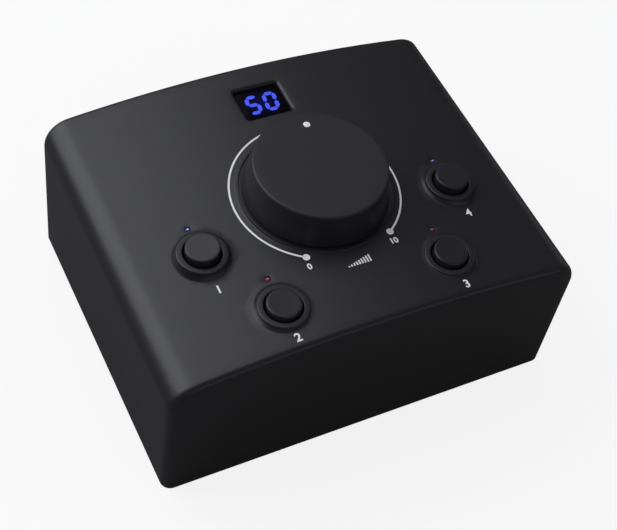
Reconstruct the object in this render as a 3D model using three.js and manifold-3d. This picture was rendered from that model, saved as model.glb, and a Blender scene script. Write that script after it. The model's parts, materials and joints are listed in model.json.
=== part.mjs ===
// Desktop monitor controller: a crowned, moulded cover over a flat base, one large volume knob,
// four round push buttons in raised collars, a small display window and a row of rear sockets.
// Millimetres, +Z up, front towards -Y. The origin is on the table under the middle of the case.

import * as THREE from 'three';
import { mergeVertices } from 'three/addons/utils/BufferGeometryUtils.js';
import Module from 'manifold-3d';

const wasm = await Module();
wasm.setup();

// Case
const caseWidth = 140;
const caseDepth = 110;
const sideHeight = 51.3;
const panelRise = 3.4;
const crownRise = 5.4;
const shoulderRadius = 9.8;
const edgeRadius = 2;
const rearEdgeRadius = 0.8;
const wall = 2.2;
const footHeight = 1.5;
const rearOverhang = 3;

// Fits shared by all pieces
const clearance = 0.3;
const slipClearance = 0.15;
const overrun = 5;
const weldTolerance = 0.001;

// Base, its feet and the screws that hold the cover
const baseThickness = 2;
const footRadius = 6.5;
const footSink = 1;
const footInset = 16;
const footEdge = 0.5;
const bossRadius = 3.6;
const bossWallInset = 8;
const frontBossInset = 9;
const rearBossInset = 25;
const bossBoreDepth = 11;

// Screws
const screwRadius = 1.3;
const screwLength = 9;
const screwHeadRadius = 2.7;
const screwHeadHeight = 1.5;
const boardScrewLength = 5.5;
const screwSlotWidth = 0.6;
const screwSlotDepth = 0.7;

// Rear panel and the ribs of the cover that stop it
const rearPanelThickness = 2;
const rearRibDepth = 1.6;
const rearRibReach = 3;

// Main board on its standoffs
const boardThickness = 1.6;
const standoffHeight = 10;
const standoffRadius = 3.2;
const mainBoardSideGap = 13;
const mainBoardFrontGap = 21;
const mainBoardRearGap = 1;
const standoffInset = 5;
const standoffSpacing = 37;

// Large sockets: inputs, outputs and the subwoofer output
const jackNames = [
  'input_socket_left', 'input_socket_right', 'main_output_left', 'main_output_right', 'sub_output',
];
const jackWidth = 14;
const jackLength = 24;
const jackHeight = 13;
const jackBoreRadius = 3.2;
const jackBoreDepth = 21;
const jackThreadRadius = 4.75;
const jackReach = 2.6;
const nutFlatRadius = 6.4;
const nutHeight = 2;
const nutChamferShare = 1.08;

// Small socket and power inlet
const auxWidth = 8;
const auxHeight = 6;
const auxLength = 13;
const auxThreadRadius = 3;
const auxBoreRadius = 1.8;
const auxReach = 1.2;
const inletWidth = 9;
const inletHeight = 11;
const inletLength = 13.5;
const inletBoreRadius = 3.15;
const inletBoreDepth = 9;
const inletPinRadius = 1;
const inletReach = 0.4;

// Control board under the panel, measured along the panel's own normal from its crest
const controlBoardLevel = -12.5;
const controlBoardSideGap = 16;
const controlBoardFrontGap = 8;
const controlBoardRearGap = 4;
const postSideInset = 4;
const postEndInset = 5;
const postRadius = 3;
const postBoreDepth = 5;
const locatingPinRadius = 1.2;

// Volume control
const knobToDisplay = 8.05;
const knobBaseRadius = 23.2;
const knobTopRadius = 21.6;
const knobTop = 12.1;
const knobEdgeRound = 0.7;
const knobGap = 0.7;
const knobRecessRadius = 14;
const knobRecessDepth = 4.6;
const plateauRadius = 24.4;
const plateauProud = 0.1;
const plateauEdge = 0.5;
const shaftRadius = 3;
const shaftTop = 9.6;
const shaftFoot = -10.8;
const shaftFlatShare = 0.5;
const bushingRadius = 4.2;
const bushingTop = 3.2;
const potRadius = 8.5;
const potHeight = 6.5;
const potFloor = 0.8;
const potNutRadius = 6.2;
const potNutHeight = 2;
const pointerRadius = 1.3;
const pointerOffset = 17.2;
const pointerDepth = 0.5;
const pointerTurn = -10;

// Push buttons: two pairs, mirrored left and right
const outerButtonSideInset = 26.6;
const outerButtonFromKnob = 11.2;
const innerButtonSideInset = 41.5;
const innerButtonFrontInset = 15.3;
const collarTopRadius = 8.1;
const collarFootRadius = 9.3;
const collarLevel = 0;
const collarRound = 0.35;
const buttonHoleRadius = 6.15;
const guideRadius = 7.6;
const guideFoot = -4.9;
const capRadius = 5.4;
const capTop = 1.8;
const capRound = 0.6;
const capDish = 0.35;
const flangeRadius = 7;
const flangeThickness = 1;
const capStemRadius = 2.6;
const capStemLength = 1.4;
const switchSize = 6;
const switchHeight = 3.5;
const plungerRadius = 1.7;
const plungerSink = 1.2;
const switchFloor = 1;

// Status lights, one behind each button
const lightOffset = 11.1;
const lightRadius = 0.75;
const lightBodyRadius = 1.5;
const lightBodyHeight = 5;
const lightProud = 0.05;

// Display window and the module behind it
const displayRearInset = 16.7;
const displayWidth = 16;
const displayDepth = 13.3;
const displayCorner = 1;
const rimWidth = 1.5;
const rimDepth = 1.1;
const windowFlange = 2;
const windowFlangeThickness = 1;
const moduleMargin = 2.5;

// Parts on the main board
const cableSideInset = 41;
const cableWidth = 13;
const cableThickness = 1;
const cableRun = 9;
const cableFrontInset = 20;
const headerDepth = 6;
const headerHeight = 7;
const headerMargin = 2;
const radioSideInset = 23;
const radioFrontInset = 12;
const radioWidth = 18;
const radioDepth = 13;
const radioHeight = 2.6;
const relaySideInset = 47;
const relayFrontInset = 30;
const relayWidth = 15;
const relayDepth = 7.5;
const relayHeight = 9.5;
const capacitorSideInset = 11;
const capacitorFrontInset = 30;
const capacitorRadius = 5;
const capacitorHeight = 16;

// Levels and places that follow from the sizes above
const slope = panelRise / caseDepth;
const lean = Math.atan(slope);
const frontY = -caseDepth / 2;
const rearY = caseDepth / 2;
const caseBottom = footHeight;
const baseTop = caseBottom + baseThickness;
const crestLevel = caseBottom + sideHeight + crownRise + slope * rearY;
const crownRadius = ((caseWidth / 2) ** 2 + crownRise ** 2) / (2 * crownRise);
const panelOuterY = rearY - rearOverhang;
const panelInnerY = panelOuterY - rearPanelThickness;
const mainBoardBottom = baseTop + standoffHeight;
const mainBoardTop = mainBoardBottom + boardThickness;
const jackAxis = mainBoardTop + jackHeight / 2;
const bossX = caseWidth / 2 - bossWallInset;
const mainBoardWidth = caseWidth - 2 * mainBoardSideGap;
const mainBoardFront = frontY + mainBoardFrontGap;
const controlBoardWidth = caseWidth - 2 * controlBoardSideGap;
const controlBoardFront = frontY + controlBoardFrontGap;
const controlBoardRear = panelInnerY - controlBoardRearGap;
const displayY = rearY - displayRearInset;
const knobY = displayY - displayDepth / 2 - rimWidth - knobToDisplay - plateauRadius;
const knobBase = plateauProud + knobGap;
const displayCornerRound = displayCorner + rimWidth;
const flangeTop = guideFoot - clearance;
const stemFoot = flangeTop - flangeThickness - capStemLength;

// Roundness of the curved surfaces, as counts
const fine = 44;
const medium = 24;
const coarse = 12;
const arcSteps = 4;

// How far the crown lies below its crest at a distance x from the middle
const crownDrop = (x) => crownRadius - Math.sqrt(crownRadius ** 2 - x ** 2);

const outerButtonX = caseWidth / 2 - outerButtonSideInset;
const outerButtonY = knobY - outerButtonFromKnob;
const innerButtonX = caseWidth / 2 - innerButtonSideInset;
const innerButtonY = frontY + innerButtonFrontInset;

const buttons = [
  { name: 'left_outer', x: -outerButtonX, y: outerButtonY },
  { name: 'left_inner', x: -innerButtonX, y: innerButtonY },
  { name: 'right_inner', x: innerButtonX, y: innerButtonY },
  { name: 'right_outer', x: outerButtonX, y: outerButtonY },
];

const coverScrews = [
  { name: 'front_left', x: -bossX, y: frontY + frontBossInset },
  { name: 'front_right', x: bossX, y: frontY + frontBossInset },
  { name: 'rear_left', x: -bossX, y: rearY - rearBossInset },
  { name: 'rear_right', x: bossX, y: rearY - rearBossInset },
];

const standoffX = mainBoardWidth / 2 - standoffInset;
const standoffY = mainBoardFront + standoffInset;
const standoffs = [-1, 1].flatMap((side) => [
  { x: side * standoffX, y: standoffY, screwed: true },
  { x: side * standoffX, y: standoffY + standoffSpacing, screwed: false },
]);

const postX = controlBoardWidth / 2 - postSideInset;
const postFrontY = controlBoardFront + postEndInset;
const postRearY = controlBoardRear - postEndInset;
const posts = [
  { name: 'rear', x: -postX, y: postRearY, screwed: true },
  { name: 'front', x: postX, y: postFrontY, screwed: true },
  { name: 'pin_rear', x: postX, y: postRearY, screwed: false },
  { name: 'pin_front', x: -postX, y: postFrontY, screwed: false },
];

// Places of the rear sockets: equal gaps between them, over the whole width of the main board
const socketWidths = [...jackNames.map(() => jackWidth), auxWidth, inletWidth];
const socketTotal = socketWidths.reduce((sum, width) => sum + width, 0);
const socketGap = (mainBoardWidth - socketTotal) / (socketWidths.length - 1);
const socketX = socketWidths.map((width, i) => {
  const before = socketWidths.slice(0, i).reduce((sum, other) => sum + other + socketGap, 0);
  return before + width / 2 - mainBoardWidth / 2;
});
const auxX = socketX[jackNames.length];
const inletX = socketX[jackNames.length + 1];

const cableX = cableSideInset - mainBoardWidth / 2;
const cableY = mainBoardFront + cableFrontInset;

// Geometry tools

// Signed volume of a closed triangle mesh
function volumeOf(geometry) {
  const position = geometry.getAttribute('position');
  const index = geometry.index.array;
  const a = new THREE.Vector3();
  const b = new THREE.Vector3();
  const c = new THREE.Vector3();
  let volume = 0;
  for (let i = 0; i < index.length; i += 3) {
    a.fromBufferAttribute(position, index[i]);
    b.fromBufferAttribute(position, index[i + 1]);
    c.fromBufferAttribute(position, index[i + 2]);
    volume += a.dot(b.cross(c)) / 6;
  }
  return volume;
}

// Welds equal vertices, drops triangles that closed up on an axis and turns the faces outwards
function weld(geometry) {
  const bare = geometry.clone();
  bare.deleteAttribute('normal');
  bare.deleteAttribute('uv');
  const welded = mergeVertices(bare, weldTolerance);
  const index = welded.index.array;
  const kept = [];
  for (let i = 0; i < index.length; i += 3) {
    const [a, b, c] = [index[i], index[i + 1], index[i + 2]];
    if (a !== b && b !== c && c !== a) kept.push(a, b, c);
  }
  welded.setIndex(kept);
  if (volumeOf(welded) < 0) welded.setIndex(kept.reverse());
  return welded;
}

function toSolid(geometry) {
  const welded = weld(geometry);
  return new wasm.Manifold(new wasm.Mesh({
    numProp: 3,
    vertProperties: new Float32Array(welded.getAttribute('position').array),
    triVerts: new Uint32Array(welded.index.array),
  }));
}

function toGeometry(solid) {
  const mesh = solid.getMesh();
  const geometry = new THREE.BufferGeometry();
  geometry.setAttribute('position', new THREE.BufferAttribute(mesh.vertProperties, 3));
  geometry.setIndex(new THREE.BufferAttribute(mesh.triVerts, 1));
  return geometry;
}

const join = (first, ...others) => others.reduce((sum, other) => sum.add(other), first);
const cut = (first, ...others) => others.reduce((rest, other) => rest.subtract(other), first);

// Revolves a list of [radius, height] points about the Z axis
function revolve(points, steps) {
  const profile = points.map(([radius, height]) => new THREE.Vector2(radius, height));
  return new THREE.LatheGeometry(profile, steps).rotateX(Math.PI / 2);
}

// Cylinder about Z between two heights
function post(radius, low, high, steps, x = 0, y = 0) {
  return revolve([[0, low], [radius, low], [radius, high], [0, high]], steps).translate(x, y, 0);
}

// Cylinder about an axis along Y between two depths
function barrel(radius, near, far, steps, x, z) {
  return post(radius, near, far, steps).rotateX(-Math.PI / 2).translate(x, 0, z);
}

// Box with a centred footprint, from a low to a high level
function block(width, depth, low, high, x = 0, y = 0) {
  return new THREE.BoxGeometry(width, depth, high - low).translate(x, y, (low + high) / 2);
}

function roundedRectangle(width, height, radius) {
  const x = width / 2 - radius;
  const y = height / 2 - radius;
  const outline = new THREE.Shape();
  outline.absarc(x, y, radius, 0, Math.PI / 2);
  outline.absarc(-x, y, radius, Math.PI / 2, Math.PI);
  outline.absarc(-x, -y, radius, Math.PI, 3 * Math.PI / 2);
  outline.absarc(x, -y, radius, 3 * Math.PI / 2, 2 * Math.PI);
  outline.closePath();
  return outline;
}

// Straight prism of an outline, from a low to a high level
function prism(outline, low, high) {
  const options = { depth: high - low, bevelEnabled: false, curveSegments: arcSteps / 2 };
  return new THREE.ExtrudeGeometry(outline, options).translate(0, 0, low);
}

// Place of the panel: its crest line runs up towards the rear
const panel = new THREE.Group();
panel.position.set(0, 0, crestLevel);
panel.rotation.x = lean;
panel.updateMatrixWorld(true);

// The same solid, moved from the panel's own frame to the frame of the case
const onPanel = (geometry) => toSolid(geometry.clone().applyMatrix4(panel.matrixWorld));

// Case outline, seen from the front: straight sides, round shoulders and a crowned top.
// Every side lies a given inset inside the outer face.
function caseOutline(inset, bottom) {
  const half = caseWidth / 2 - inset;
  const shoulder = shoulderRadius - inset;
  const crown = crownRadius - inset;
  const crownCentre = caseBottom + sideHeight + crownRise - crownRadius;
  const shoulderX = half - shoulder;
  const shoulderZ = crownCentre + Math.sqrt((crown - shoulder) ** 2 - shoulderX ** 2);
  const tip = Math.acos(shoulderX / (crown - shoulder));
  const outline = new THREE.Shape();
  outline.moveTo(-half, bottom);
  outline.lineTo(half, bottom);
  outline.absarc(shoulderX, shoulderZ, shoulder, 0, tip);
  outline.absarc(0, crownCentre, crown, tip, Math.PI - tip);
  outline.absarc(-shoulderX, shoulderZ, shoulder, Math.PI - tip, Math.PI);
  outline.closePath();
  return outline;
}

// Runs a case outline along the depth, rounds its ends if asked, and lets the top rise to the rear
function caseRun(inset, bottom, near, far, round) {
  const geometry = new THREE.ExtrudeGeometry(caseOutline(inset, bottom), {
    depth: far - near - 2 * round,
    bevelEnabled: round > 0,
    bevelThickness: round,
    bevelSize: round,
    bevelOffset: -round,
    bevelSegments: arcSteps / 2,
    curveSegments: arcSteps,
  });
  geometry.rotateX(Math.PI / 2).translate(0, far - round, 0);
  const position = geometry.getAttribute('position');
  for (let i = 0; i < position.count; i += 1) {
    if (position.getZ(i) > sideHeight / 2) {
      position.setZ(i, position.getZ(i) + slope * (position.getY(i) - frontY));
    }
  }
  return toSolid(geometry);
}

// Raised collar round a button. Its foot flares out and follows the crown, its top is level.
function buttonCollar(button) {
  const foot = -crownDrop(button.x);
  const height = collarLevel - foot;
  const flare = collarFootRadius - collarTopRadius;
  const points = [[0, foot - wall], [collarFootRadius, foot - wall], [collarFootRadius, foot]];
  for (let step = 1; step < arcSteps; step += 1) {
    const share = step / arcSteps;
    const bend = 1 - Math.sqrt(1 - (1 - share) ** 2);
    points.push([collarTopRadius + flare * bend, foot + (height - collarRound) * share]);
  }
  points.push([collarTopRadius, collarLevel - collarRound]);
  points.push([collarTopRadius - collarRound, collarLevel], [0, collarLevel]);
  const geometry = revolve(points, medium).translate(button.x, 0, 0);
  const position = geometry.getAttribute('position');
  for (let i = 0; i < position.count; i += 1) {
    const share = Math.min(1, (collarLevel - position.getZ(i)) / height);
    const tilt = foot + crownDrop(position.getX(i));
    position.setZ(i, position.getZ(i) - share * tilt);
  }
  return onPanel(geometry.translate(0, button.y, 0));
}

// Flat round seat under the knob, level with the crest of the crown
function knobPlateau() {
  const points = [
    [0, -wall], [plateauRadius, -wall], [plateauRadius, plateauProud - plateauEdge],
    [plateauRadius - plateauEdge, plateauProud], [0, plateauProud],
  ];
  return onPanel(revolve(points, fine).translate(0, knobY, 0));
}

// Opening for the display with a soft, dished rim
function displayCut() {
  const opening = roundedRectangle(displayWidth, displayDepth, displayCorner);
  const through = prism(opening, -wall - overrun, overrun).translate(0, displayY, 0);
  const rim = new THREE.ExtrudeGeometry(
    roundedRectangle(displayWidth + 2 * rimWidth, displayDepth + 2 * rimWidth, displayCornerRound),
    {
      depth: overrun, bevelEnabled: true, bevelThickness: rimDepth, bevelSize: rimWidth,
      bevelOffset: -rimWidth, bevelSegments: arcSteps / 2, curveSegments: arcSteps / 2,
    },
  );
  return join(onPanel(through), onPanel(rim.translate(0, displayY, 0)));
}

// Pillars that carry the control board, with bores for screws or pins that locate it
function controlPosts() {
  const foot = controlBoardLevel + clearance;
  const solids = posts.map(({ x, y, screwed }) => {
    const pillar = onPanel(post(postRadius, foot, 0, coarse, x, y));
    if (screwed) {
      return cut(pillar, onPanel(post(
        screwRadius + clearance, foot - overrun, foot + postBoreDepth, coarse, x, y,
      )));
    }
    return pillar.add(onPanel(post(
      locatingPinRadius, foot - boardThickness, foot + postBoreDepth, coarse, x, y,
    )));
  });
  return join(...solids);
}

// Screw bosses from the roof down to the base
function coverBosses() {
  return join(...coverScrews.map(({ x, y }) => cut(
    toSolid(post(bossRadius, baseTop, crestLevel + panelRise, coarse, x, y)),
    toSolid(post(screwRadius + clearance, 0, baseTop + bossBoreDepth, coarse, x, y)),
  )));
}

// Upright ribs on the side walls that the rear panel bears against
function rearRibs() {
  const reach = wall + rearRibReach;
  const y = panelInnerY - clearance - rearRibDepth / 2;
  return join(...[-1, 1].map((side) => toSolid(block(
    reach, rearRibDepth, baseTop + clearance, crestLevel + panelRise,
    side * (caseWidth / 2 - reach / 2), y,
  ))));
}

function topCoverSolid() {
  const outer = caseRun(0, caseBottom - overrun, frontY, rearY + overrun, edgeRadius)
    .intersect(caseRun(0, caseBottom - overrun, frontY - overrun, rearY, rearEdgeRadius))
    .subtract(toSolid(block(
      caseWidth + overrun, caseDepth + overrun, caseBottom - 2 * overrun, caseBottom,
    )));
  const hollow = caseRun(wall, caseBottom - overrun, frontY + wall, rearY + overrun, 0);
  const inside = join(coverBosses(), rearRibs(), controlPosts()).intersect(outer);
  const guides = buttons.map(({ x, y }) => onPanel(post(
    guideRadius, guideFoot, -crownDrop(x) - wall / 2, medium, x, y,
  )));
  const holes = buttons.map(({ x, y }) => onPanel(post(
    buttonHoleRadius, guideFoot - overrun, overrun, medium, x, y,
  )));
  const lightHoles = buttons.map(({ x, y }) => onPanel(post(
    lightRadius + slipClearance, -wall - overrun, overrun, coarse / 2, x, y + lightOffset,
  )));
  const bushingHole = onPanel(post(
    bushingRadius + clearance, -wall - overrun, overrun, coarse, 0, knobY,
  ));
  const shell = join(outer.subtract(hollow), inside, ...guides, knobPlateau());
  const raised = join(shell, ...buttons.map(buttonCollar));
  return cut(raised, ...holes, ...lightHoles, bushingHole, displayCut());
}

// Screw with its head below: the shank points up from the given level
function screwSolid(length, head) {
  const profile = [
    [0, 0], [screwHeadRadius, 0], ...head, [screwRadius, screwHeadHeight],
    [screwRadius, length - screwRadius], [0, length],
  ];
  const slots = [0, Math.PI / 2].map((turn) => toSolid(
    block(screwHeadRadius, screwSlotWidth, -overrun, screwSlotDepth).rotateZ(turn),
  ));
  return cut(toSolid(revolve(profile, coarse)), ...slots);
}

const countersunkScrew = () => screwSolid(screwLength + baseThickness, []);
const panScrew = () => screwSolid(
  boardScrewLength + screwHeadHeight, [[screwHeadRadius, screwHeadHeight]],
);

function basePlateSolid() {
  const width = caseWidth - 2 * (wall + clearance);
  const near = frontY + wall + clearance;
  const plate = toSolid(block(
    width, panelOuterY - near, caseBottom, baseTop, 0, (panelOuterY + near) / 2,
  ));
  const pillars = standoffs.map(({ x, y, screwed }) => {
    const pillar = toSolid(post(standoffRadius, caseBottom, mainBoardBottom, coarse, x, y));
    if (!screwed) return pillar;
    return pillar.subtract(toSolid(post(
      screwRadius + clearance, mainBoardBottom - boardScrewLength, mainBoardBottom + overrun,
      coarse, x, y,
    )));
  });
  const sinks = coverScrews.map(({ x, y }) => {
    const head = screwHeadRadius + clearance;
    const bore = screwRadius + clearance;
    return toSolid(revolve([
      [0, -overrun], [head, -overrun], [head, 0], [bore, screwHeadHeight + clearance],
      [bore, overrun], [0, overrun],
    ], coarse).translate(x, y, caseBottom));
  });
  const recesses = footPlaces().map(({ x, y }) => toSolid(post(
    footRadius + clearance, 0, footHeight + footSink, medium, x, y,
  )));
  return cut(join(plate, ...pillars), ...sinks, ...recesses);
}

function footPlaces() {
  const x = caseWidth / 2 - footInset;
  const y = caseDepth / 2 - footInset;
  return [
    { name: 'front_left', x: -x, y: -y },
    { name: 'front_right', x, y: -y },
    { name: 'rear_left', x: -x, y },
    { name: 'rear_right', x, y },
  ];
}

function footGeometry() {
  return revolve([
    [0, 0], [footRadius - footEdge, 0], [footRadius, footEdge],
    [footRadius, footHeight + footSink], [0, footHeight + footSink],
  ], medium);
}

function rearPanelSolid() {
  const inset = wall + clearance;
  const plate = caseRun(inset, caseBottom - overrun, panelInnerY, panelOuterY, 0)
    .subtract(toSolid(block(
      caseWidth, caseDepth + overrun, caseBottom - 2 * overrun, baseTop,
    )));
  const near = panelInnerY - overrun;
  const far = panelOuterY + overrun;
  const holes = jackNames.map((name, i) => toSolid(barrel(
    jackThreadRadius + clearance, near, far, coarse, socketX[i], jackAxis,
  )));
  const aux = toSolid(barrel(
    auxThreadRadius + clearance, near, far, coarse, auxX, mainBoardTop + auxHeight / 2,
  ));
  const inlet = toSolid(block(
    inletWidth + 2 * clearance, far - near, mainBoardTop,
    mainBoardTop + inletHeight + 2 * clearance, inletX, (near + far) / 2,
  ));
  return cut(plate, ...holes, aux, inlet);
}

// Moulded socket: a block on the board, a threaded nose through the panel and a stepped bore
function jackSolid() {
  const low = mainBoardTop;
  const front = panelInnerY - clearance;
  const nose = panelOuterY + jackReach;
  const body = toSolid(block(
    jackWidth, jackLength, low + clearance, low + jackHeight, 0, front - jackLength / 2,
  ));
  const thread = toSolid(barrel(jackThreadRadius, front - overrun, nose, coarse, 0, jackAxis));
  const bore = toSolid(barrel(
    jackBoreRadius, nose - jackBoreDepth, nose + overrun, coarse, 0, jackAxis,
  ));
  return body.add(thread).subtract(bore);
}

function jackNutSolid() {
  const low = panelOuterY + slipClearance;
  const hexagon = barrel(nutFlatRadius / Math.cos(Math.PI / 6), low, low + nutHeight, 6, 0, jackAxis);
  const chamfer = barrel(nutFlatRadius * nutChamferShare, low, low + nutHeight, coarse, 0, jackAxis);
  const hole = barrel(
    jackThreadRadius + slipClearance, low - overrun, low + overrun, coarse, 0, jackAxis,
  );
  return toSolid(hexagon).intersect(toSolid(chamfer)).subtract(toSolid(hole));
}

function auxSocketSolid() {
  const axis = mainBoardTop + auxHeight / 2;
  const front = panelInnerY - clearance;
  const nose = panelOuterY + auxReach;
  const body = toSolid(block(
    auxWidth, auxLength, mainBoardTop + clearance, mainBoardTop + auxHeight, 0, front - auxLength / 2,
  ));
  const thread = toSolid(barrel(
    auxThreadRadius - clearance, front - overrun, nose, coarse, 0, axis,
  ));
  const bore = toSolid(barrel(
    auxBoreRadius, nose - auxLength, nose + overrun, coarse, 0, axis,
  ));
  return body.add(thread).subtract(bore);
}

// Barrel inlet with its centre pin on the floor of the bore
function powerInletSolid() {
  const axis = mainBoardTop + clearance + inletHeight / 2;
  const face = panelOuterY + inletReach;
  const body = toSolid(block(
    inletWidth, inletLength, mainBoardTop + clearance, mainBoardTop + inletHeight, 0,
    face - inletLength / 2,
  ));
  const bore = toSolid(barrel(
    inletBoreRadius, face - inletBoreDepth, face + overrun, coarse, 0, axis,
  ));
  const pin = toSolid(barrel(
    inletPinRadius, face - inletBoreDepth - clearance, face - inletReach, coarse / 2, 0, axis,
  ));
  return body.subtract(bore).add(pin);
}

function mainBoardSolid() {
  const rear = panelInnerY - mainBoardRearGap;
  const plate = toSolid(block(
    mainBoardWidth, rear - mainBoardFront, mainBoardBottom, mainBoardTop, 0,
    (rear + mainBoardFront) / 2,
  ));
  const holes = standoffs.filter(({ screwed }) => screwed).map(({ x, y }) => toSolid(post(
    screwRadius + clearance, mainBoardBottom - overrun, mainBoardTop + overrun, coarse, x, y,
  )));
  return cut(plate, ...holes);
}

function controlBoardSolid() {
  const low = controlBoardLevel - boardThickness;
  const depth = controlBoardRear - controlBoardFront;
  const plate = toSolid(block(
    controlBoardWidth, depth, low, controlBoardLevel, 0,
    (controlBoardRear + controlBoardFront) / 2,
  ));
  const holes = posts.map(({ x, y, screwed }) => toSolid(post(
    (screwed ? screwRadius : locatingPinRadius) + clearance, low - overrun,
    controlBoardLevel + overrun, coarse, x, y,
  )));
  return cut(plate, ...holes);
}

// Conical knob, turned, with a soft top edge and a recess over the fixing nut
function knobSolid() {
  const bore = shaftRadius + slipClearance;
  const ceiling = knobBase + knobRecessDepth;
  const points = [
    [0, shaftTop + clearance], [bore, shaftTop + clearance], [bore, ceiling],
    [knobRecessRadius, ceiling], [knobRecessRadius, knobBase], [knobBaseRadius, knobBase],
  ];
  for (let step = 0; step <= arcSteps / 2; step += 1) {
    const turn = (Math.PI / 2) * (step / (arcSteps / 2));
    points.push([
      knobTopRadius - knobEdgeRound * (1 - Math.cos(turn)),
      knobTop - knobEdgeRound * (1 - Math.sin(turn)),
    ]);
  }
  points.push([0, knobTop]);
  const sink = post(
    pointerRadius + slipClearance, knobTop - pointerDepth - slipClearance, knobTop + overrun,
    coarse, 0, pointerOffset,
  );
  return cut(toSolid(revolve(points, fine)), toSolid(sink));
}

function pointerGeometry() {
  return post(pointerRadius, knobTop - pointerDepth, knobTop, coarse, 0, pointerOffset);
}

// Shaft with the flat that keys the knob
function shaftSolid() {
  const rod = toSolid(post(shaftRadius, shaftFoot, shaftTop, coarse));
  const flat = toSolid(block(
    2 * shaftRadius, shaftRadius, bushingTop + clearance, shaftTop + overrun, 0,
    shaftRadius * (1 + shaftFlatShare),
  ));
  return rod.subtract(flat);
}

// Round can on the board with a bushing that passes through the panel
function potentiometerSolid() {
  const low = controlBoardLevel + clearance;
  const high = controlBoardLevel + potHeight;
  return cut(
    toSolid(revolve([
      [0, low], [potRadius, low], [potRadius, high], [bushingRadius, high],
      [bushingRadius, bushingTop], [0, bushingTop],
    ], medium)),
    toSolid(post(shaftRadius + slipClearance, low + potFloor, bushingTop + overrun, coarse)),
  );
}

function potNutSolid() {
  const low = plateauProud + clearance;
  return cut(
    toSolid(post(potNutRadius, low, low + potNutHeight, 6)),
    toSolid(post(bushingRadius + slipClearance, low - overrun, low + overrun, coarse)),
  );
}

// Push button: dished top, straight skirt, a flange that keeps it in, and the stem over its switch
function capGeometry() {
  const flangeFoot = flangeTop - flangeThickness;
  return revolve([
    [0, capTop - capDish], [capRadius / 2, capTop - capDish], [capRadius - 2 * capRound, capTop],
    [capRadius - capRound / 2, capTop - capRound / 4], [capRadius, capTop - capRound],
    [capRadius, flangeTop], [flangeRadius, flangeTop], [flangeRadius, flangeFoot],
    [capStemRadius, flangeFoot], [capStemRadius, stemFoot], [0, stemFoot],
  ], medium);
}

function switchSolid() {
  const low = controlBoardLevel + clearance;
  return cut(
    toSolid(block(switchSize, switchSize, low, controlBoardLevel + switchHeight)),
    toSolid(post(plungerRadius + slipClearance, low + switchFloor, low + overrun, coarse)),
  );
}

function plungerGeometry() {
  const foot = controlBoardLevel + switchHeight - plungerSink;
  return post(plungerRadius, foot, stemFoot, coarse);
}

// Small diode on the board whose tip shows flush in the panel
function statusLightGeometry(button) {
  const low = controlBoardLevel + clearance;
  const tip = lightProud - crownDrop(button.x);
  return revolve([
    [0, low], [lightBodyRadius, low], [lightBodyRadius, low + lightBodyHeight],
    [lightRadius, low + lightBodyHeight], [lightRadius, tip - lightProud], [0, tip],
  ], coarse);
}

// Stepped window: the inner flange bears on the roof, the front fills the opening
function windowSolid() {
  const gap = 2 * clearance;
  const front = roundedRectangle(displayWidth - gap, displayDepth - gap, displayCorner);
  const flange = roundedRectangle(
    displayWidth + 2 * windowFlange, displayDepth + 2 * windowFlange, displayCornerRound,
  );
  const seat = -wall - crownDrop(displayWidth / 2 + windowFlange) - clearance;
  return toSolid(prism(front, seat - windowFlangeThickness, -rimDepth - clearance))
    .add(toSolid(prism(flange, seat - windowFlangeThickness, seat)));
}

function displayModuleGeometry() {
  const seat = -wall - crownDrop(displayWidth / 2 + windowFlange) - clearance;
  return block(
    displayWidth + moduleMargin, displayDepth + moduleMargin, controlBoardLevel + clearance,
    seat - windowFlangeThickness - clearance,
  );
}

// Flat cable that turns once between the two headers
function cableLevels() {
  const controlBottom = crestLevel + controlBoardLevel - boardThickness + slope * cableY;
  return { low: mainBoardTop + headerHeight / 2, high: controlBottom - headerHeight / 2 };
}

function flatCableGeometry() {
  const { low, high } = cableLevels();
  const radius = (high - low) / 2;
  const outer = radius + cableThickness / 2;
  const inner = radius - cableThickness / 2;
  const outline = new THREE.Shape();
  outline.moveTo(cableRun, -outer);
  outline.lineTo(cableRun, -inner);
  outline.absarc(0, 0, inner, 3 * Math.PI / 2, Math.PI / 2, true);
  outline.lineTo(cableRun, inner);
  outline.lineTo(cableRun, outer);
  outline.absarc(0, 0, outer, Math.PI / 2, 3 * Math.PI / 2);
  outline.closePath();
  const options = { depth: cableWidth, bevelEnabled: false, curveSegments: arcSteps };
  return new THREE.ExtrudeGeometry(outline, options)
    .translate(0, 0, -cableWidth / 2)
    .rotateX(Math.PI / 2)
    .rotateZ(Math.PI / 2)
    .translate(cableX, cableY - cableRun - clearance - headerDepth / 2, (low + high) / 2);
}

// Materials

const matt = (color, roughness, metalness = 0) => new THREE.MeshStandardMaterial({
  color, roughness, metalness, flatShading: true,
});

const softBlack = matt(0x222226, 0.6);
const satinBlack = matt(0x1b1b1e, 0.5);
const rubber = matt(0x141414, 0.9);
const steel = matt(0x9a9da2, 0.35, 0.9);
const darkSteel = matt(0x1d1e20, 0.5, 0.6);
const laminate = matt(0x16402a, 0.55);
const nylon = matt(0x17171a, 0.7);
const whitePrint = matt(0xe8e8e8, 0.6);
const glass = matt(0x050507, 0.1);
const lens = matt(0xc9d4ff, 0.3);
const ribbon = matt(0xb9bcc2, 0.6);
const shield = matt(0xb0b2b5, 0.3, 0.9);
const beige = matt(0xd8cfa8, 0.6);

// Assembly

const group = new THREE.Group();
group.add(panel);

function place(parent, name, geometry, material, x = 0, y = 0, z = 0) {
  const mesh = new THREE.Mesh(geometry, material);
  mesh.name = name;
  mesh.position.set(x, y, z);
  parent.add(mesh);
  return mesh;
}

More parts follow.
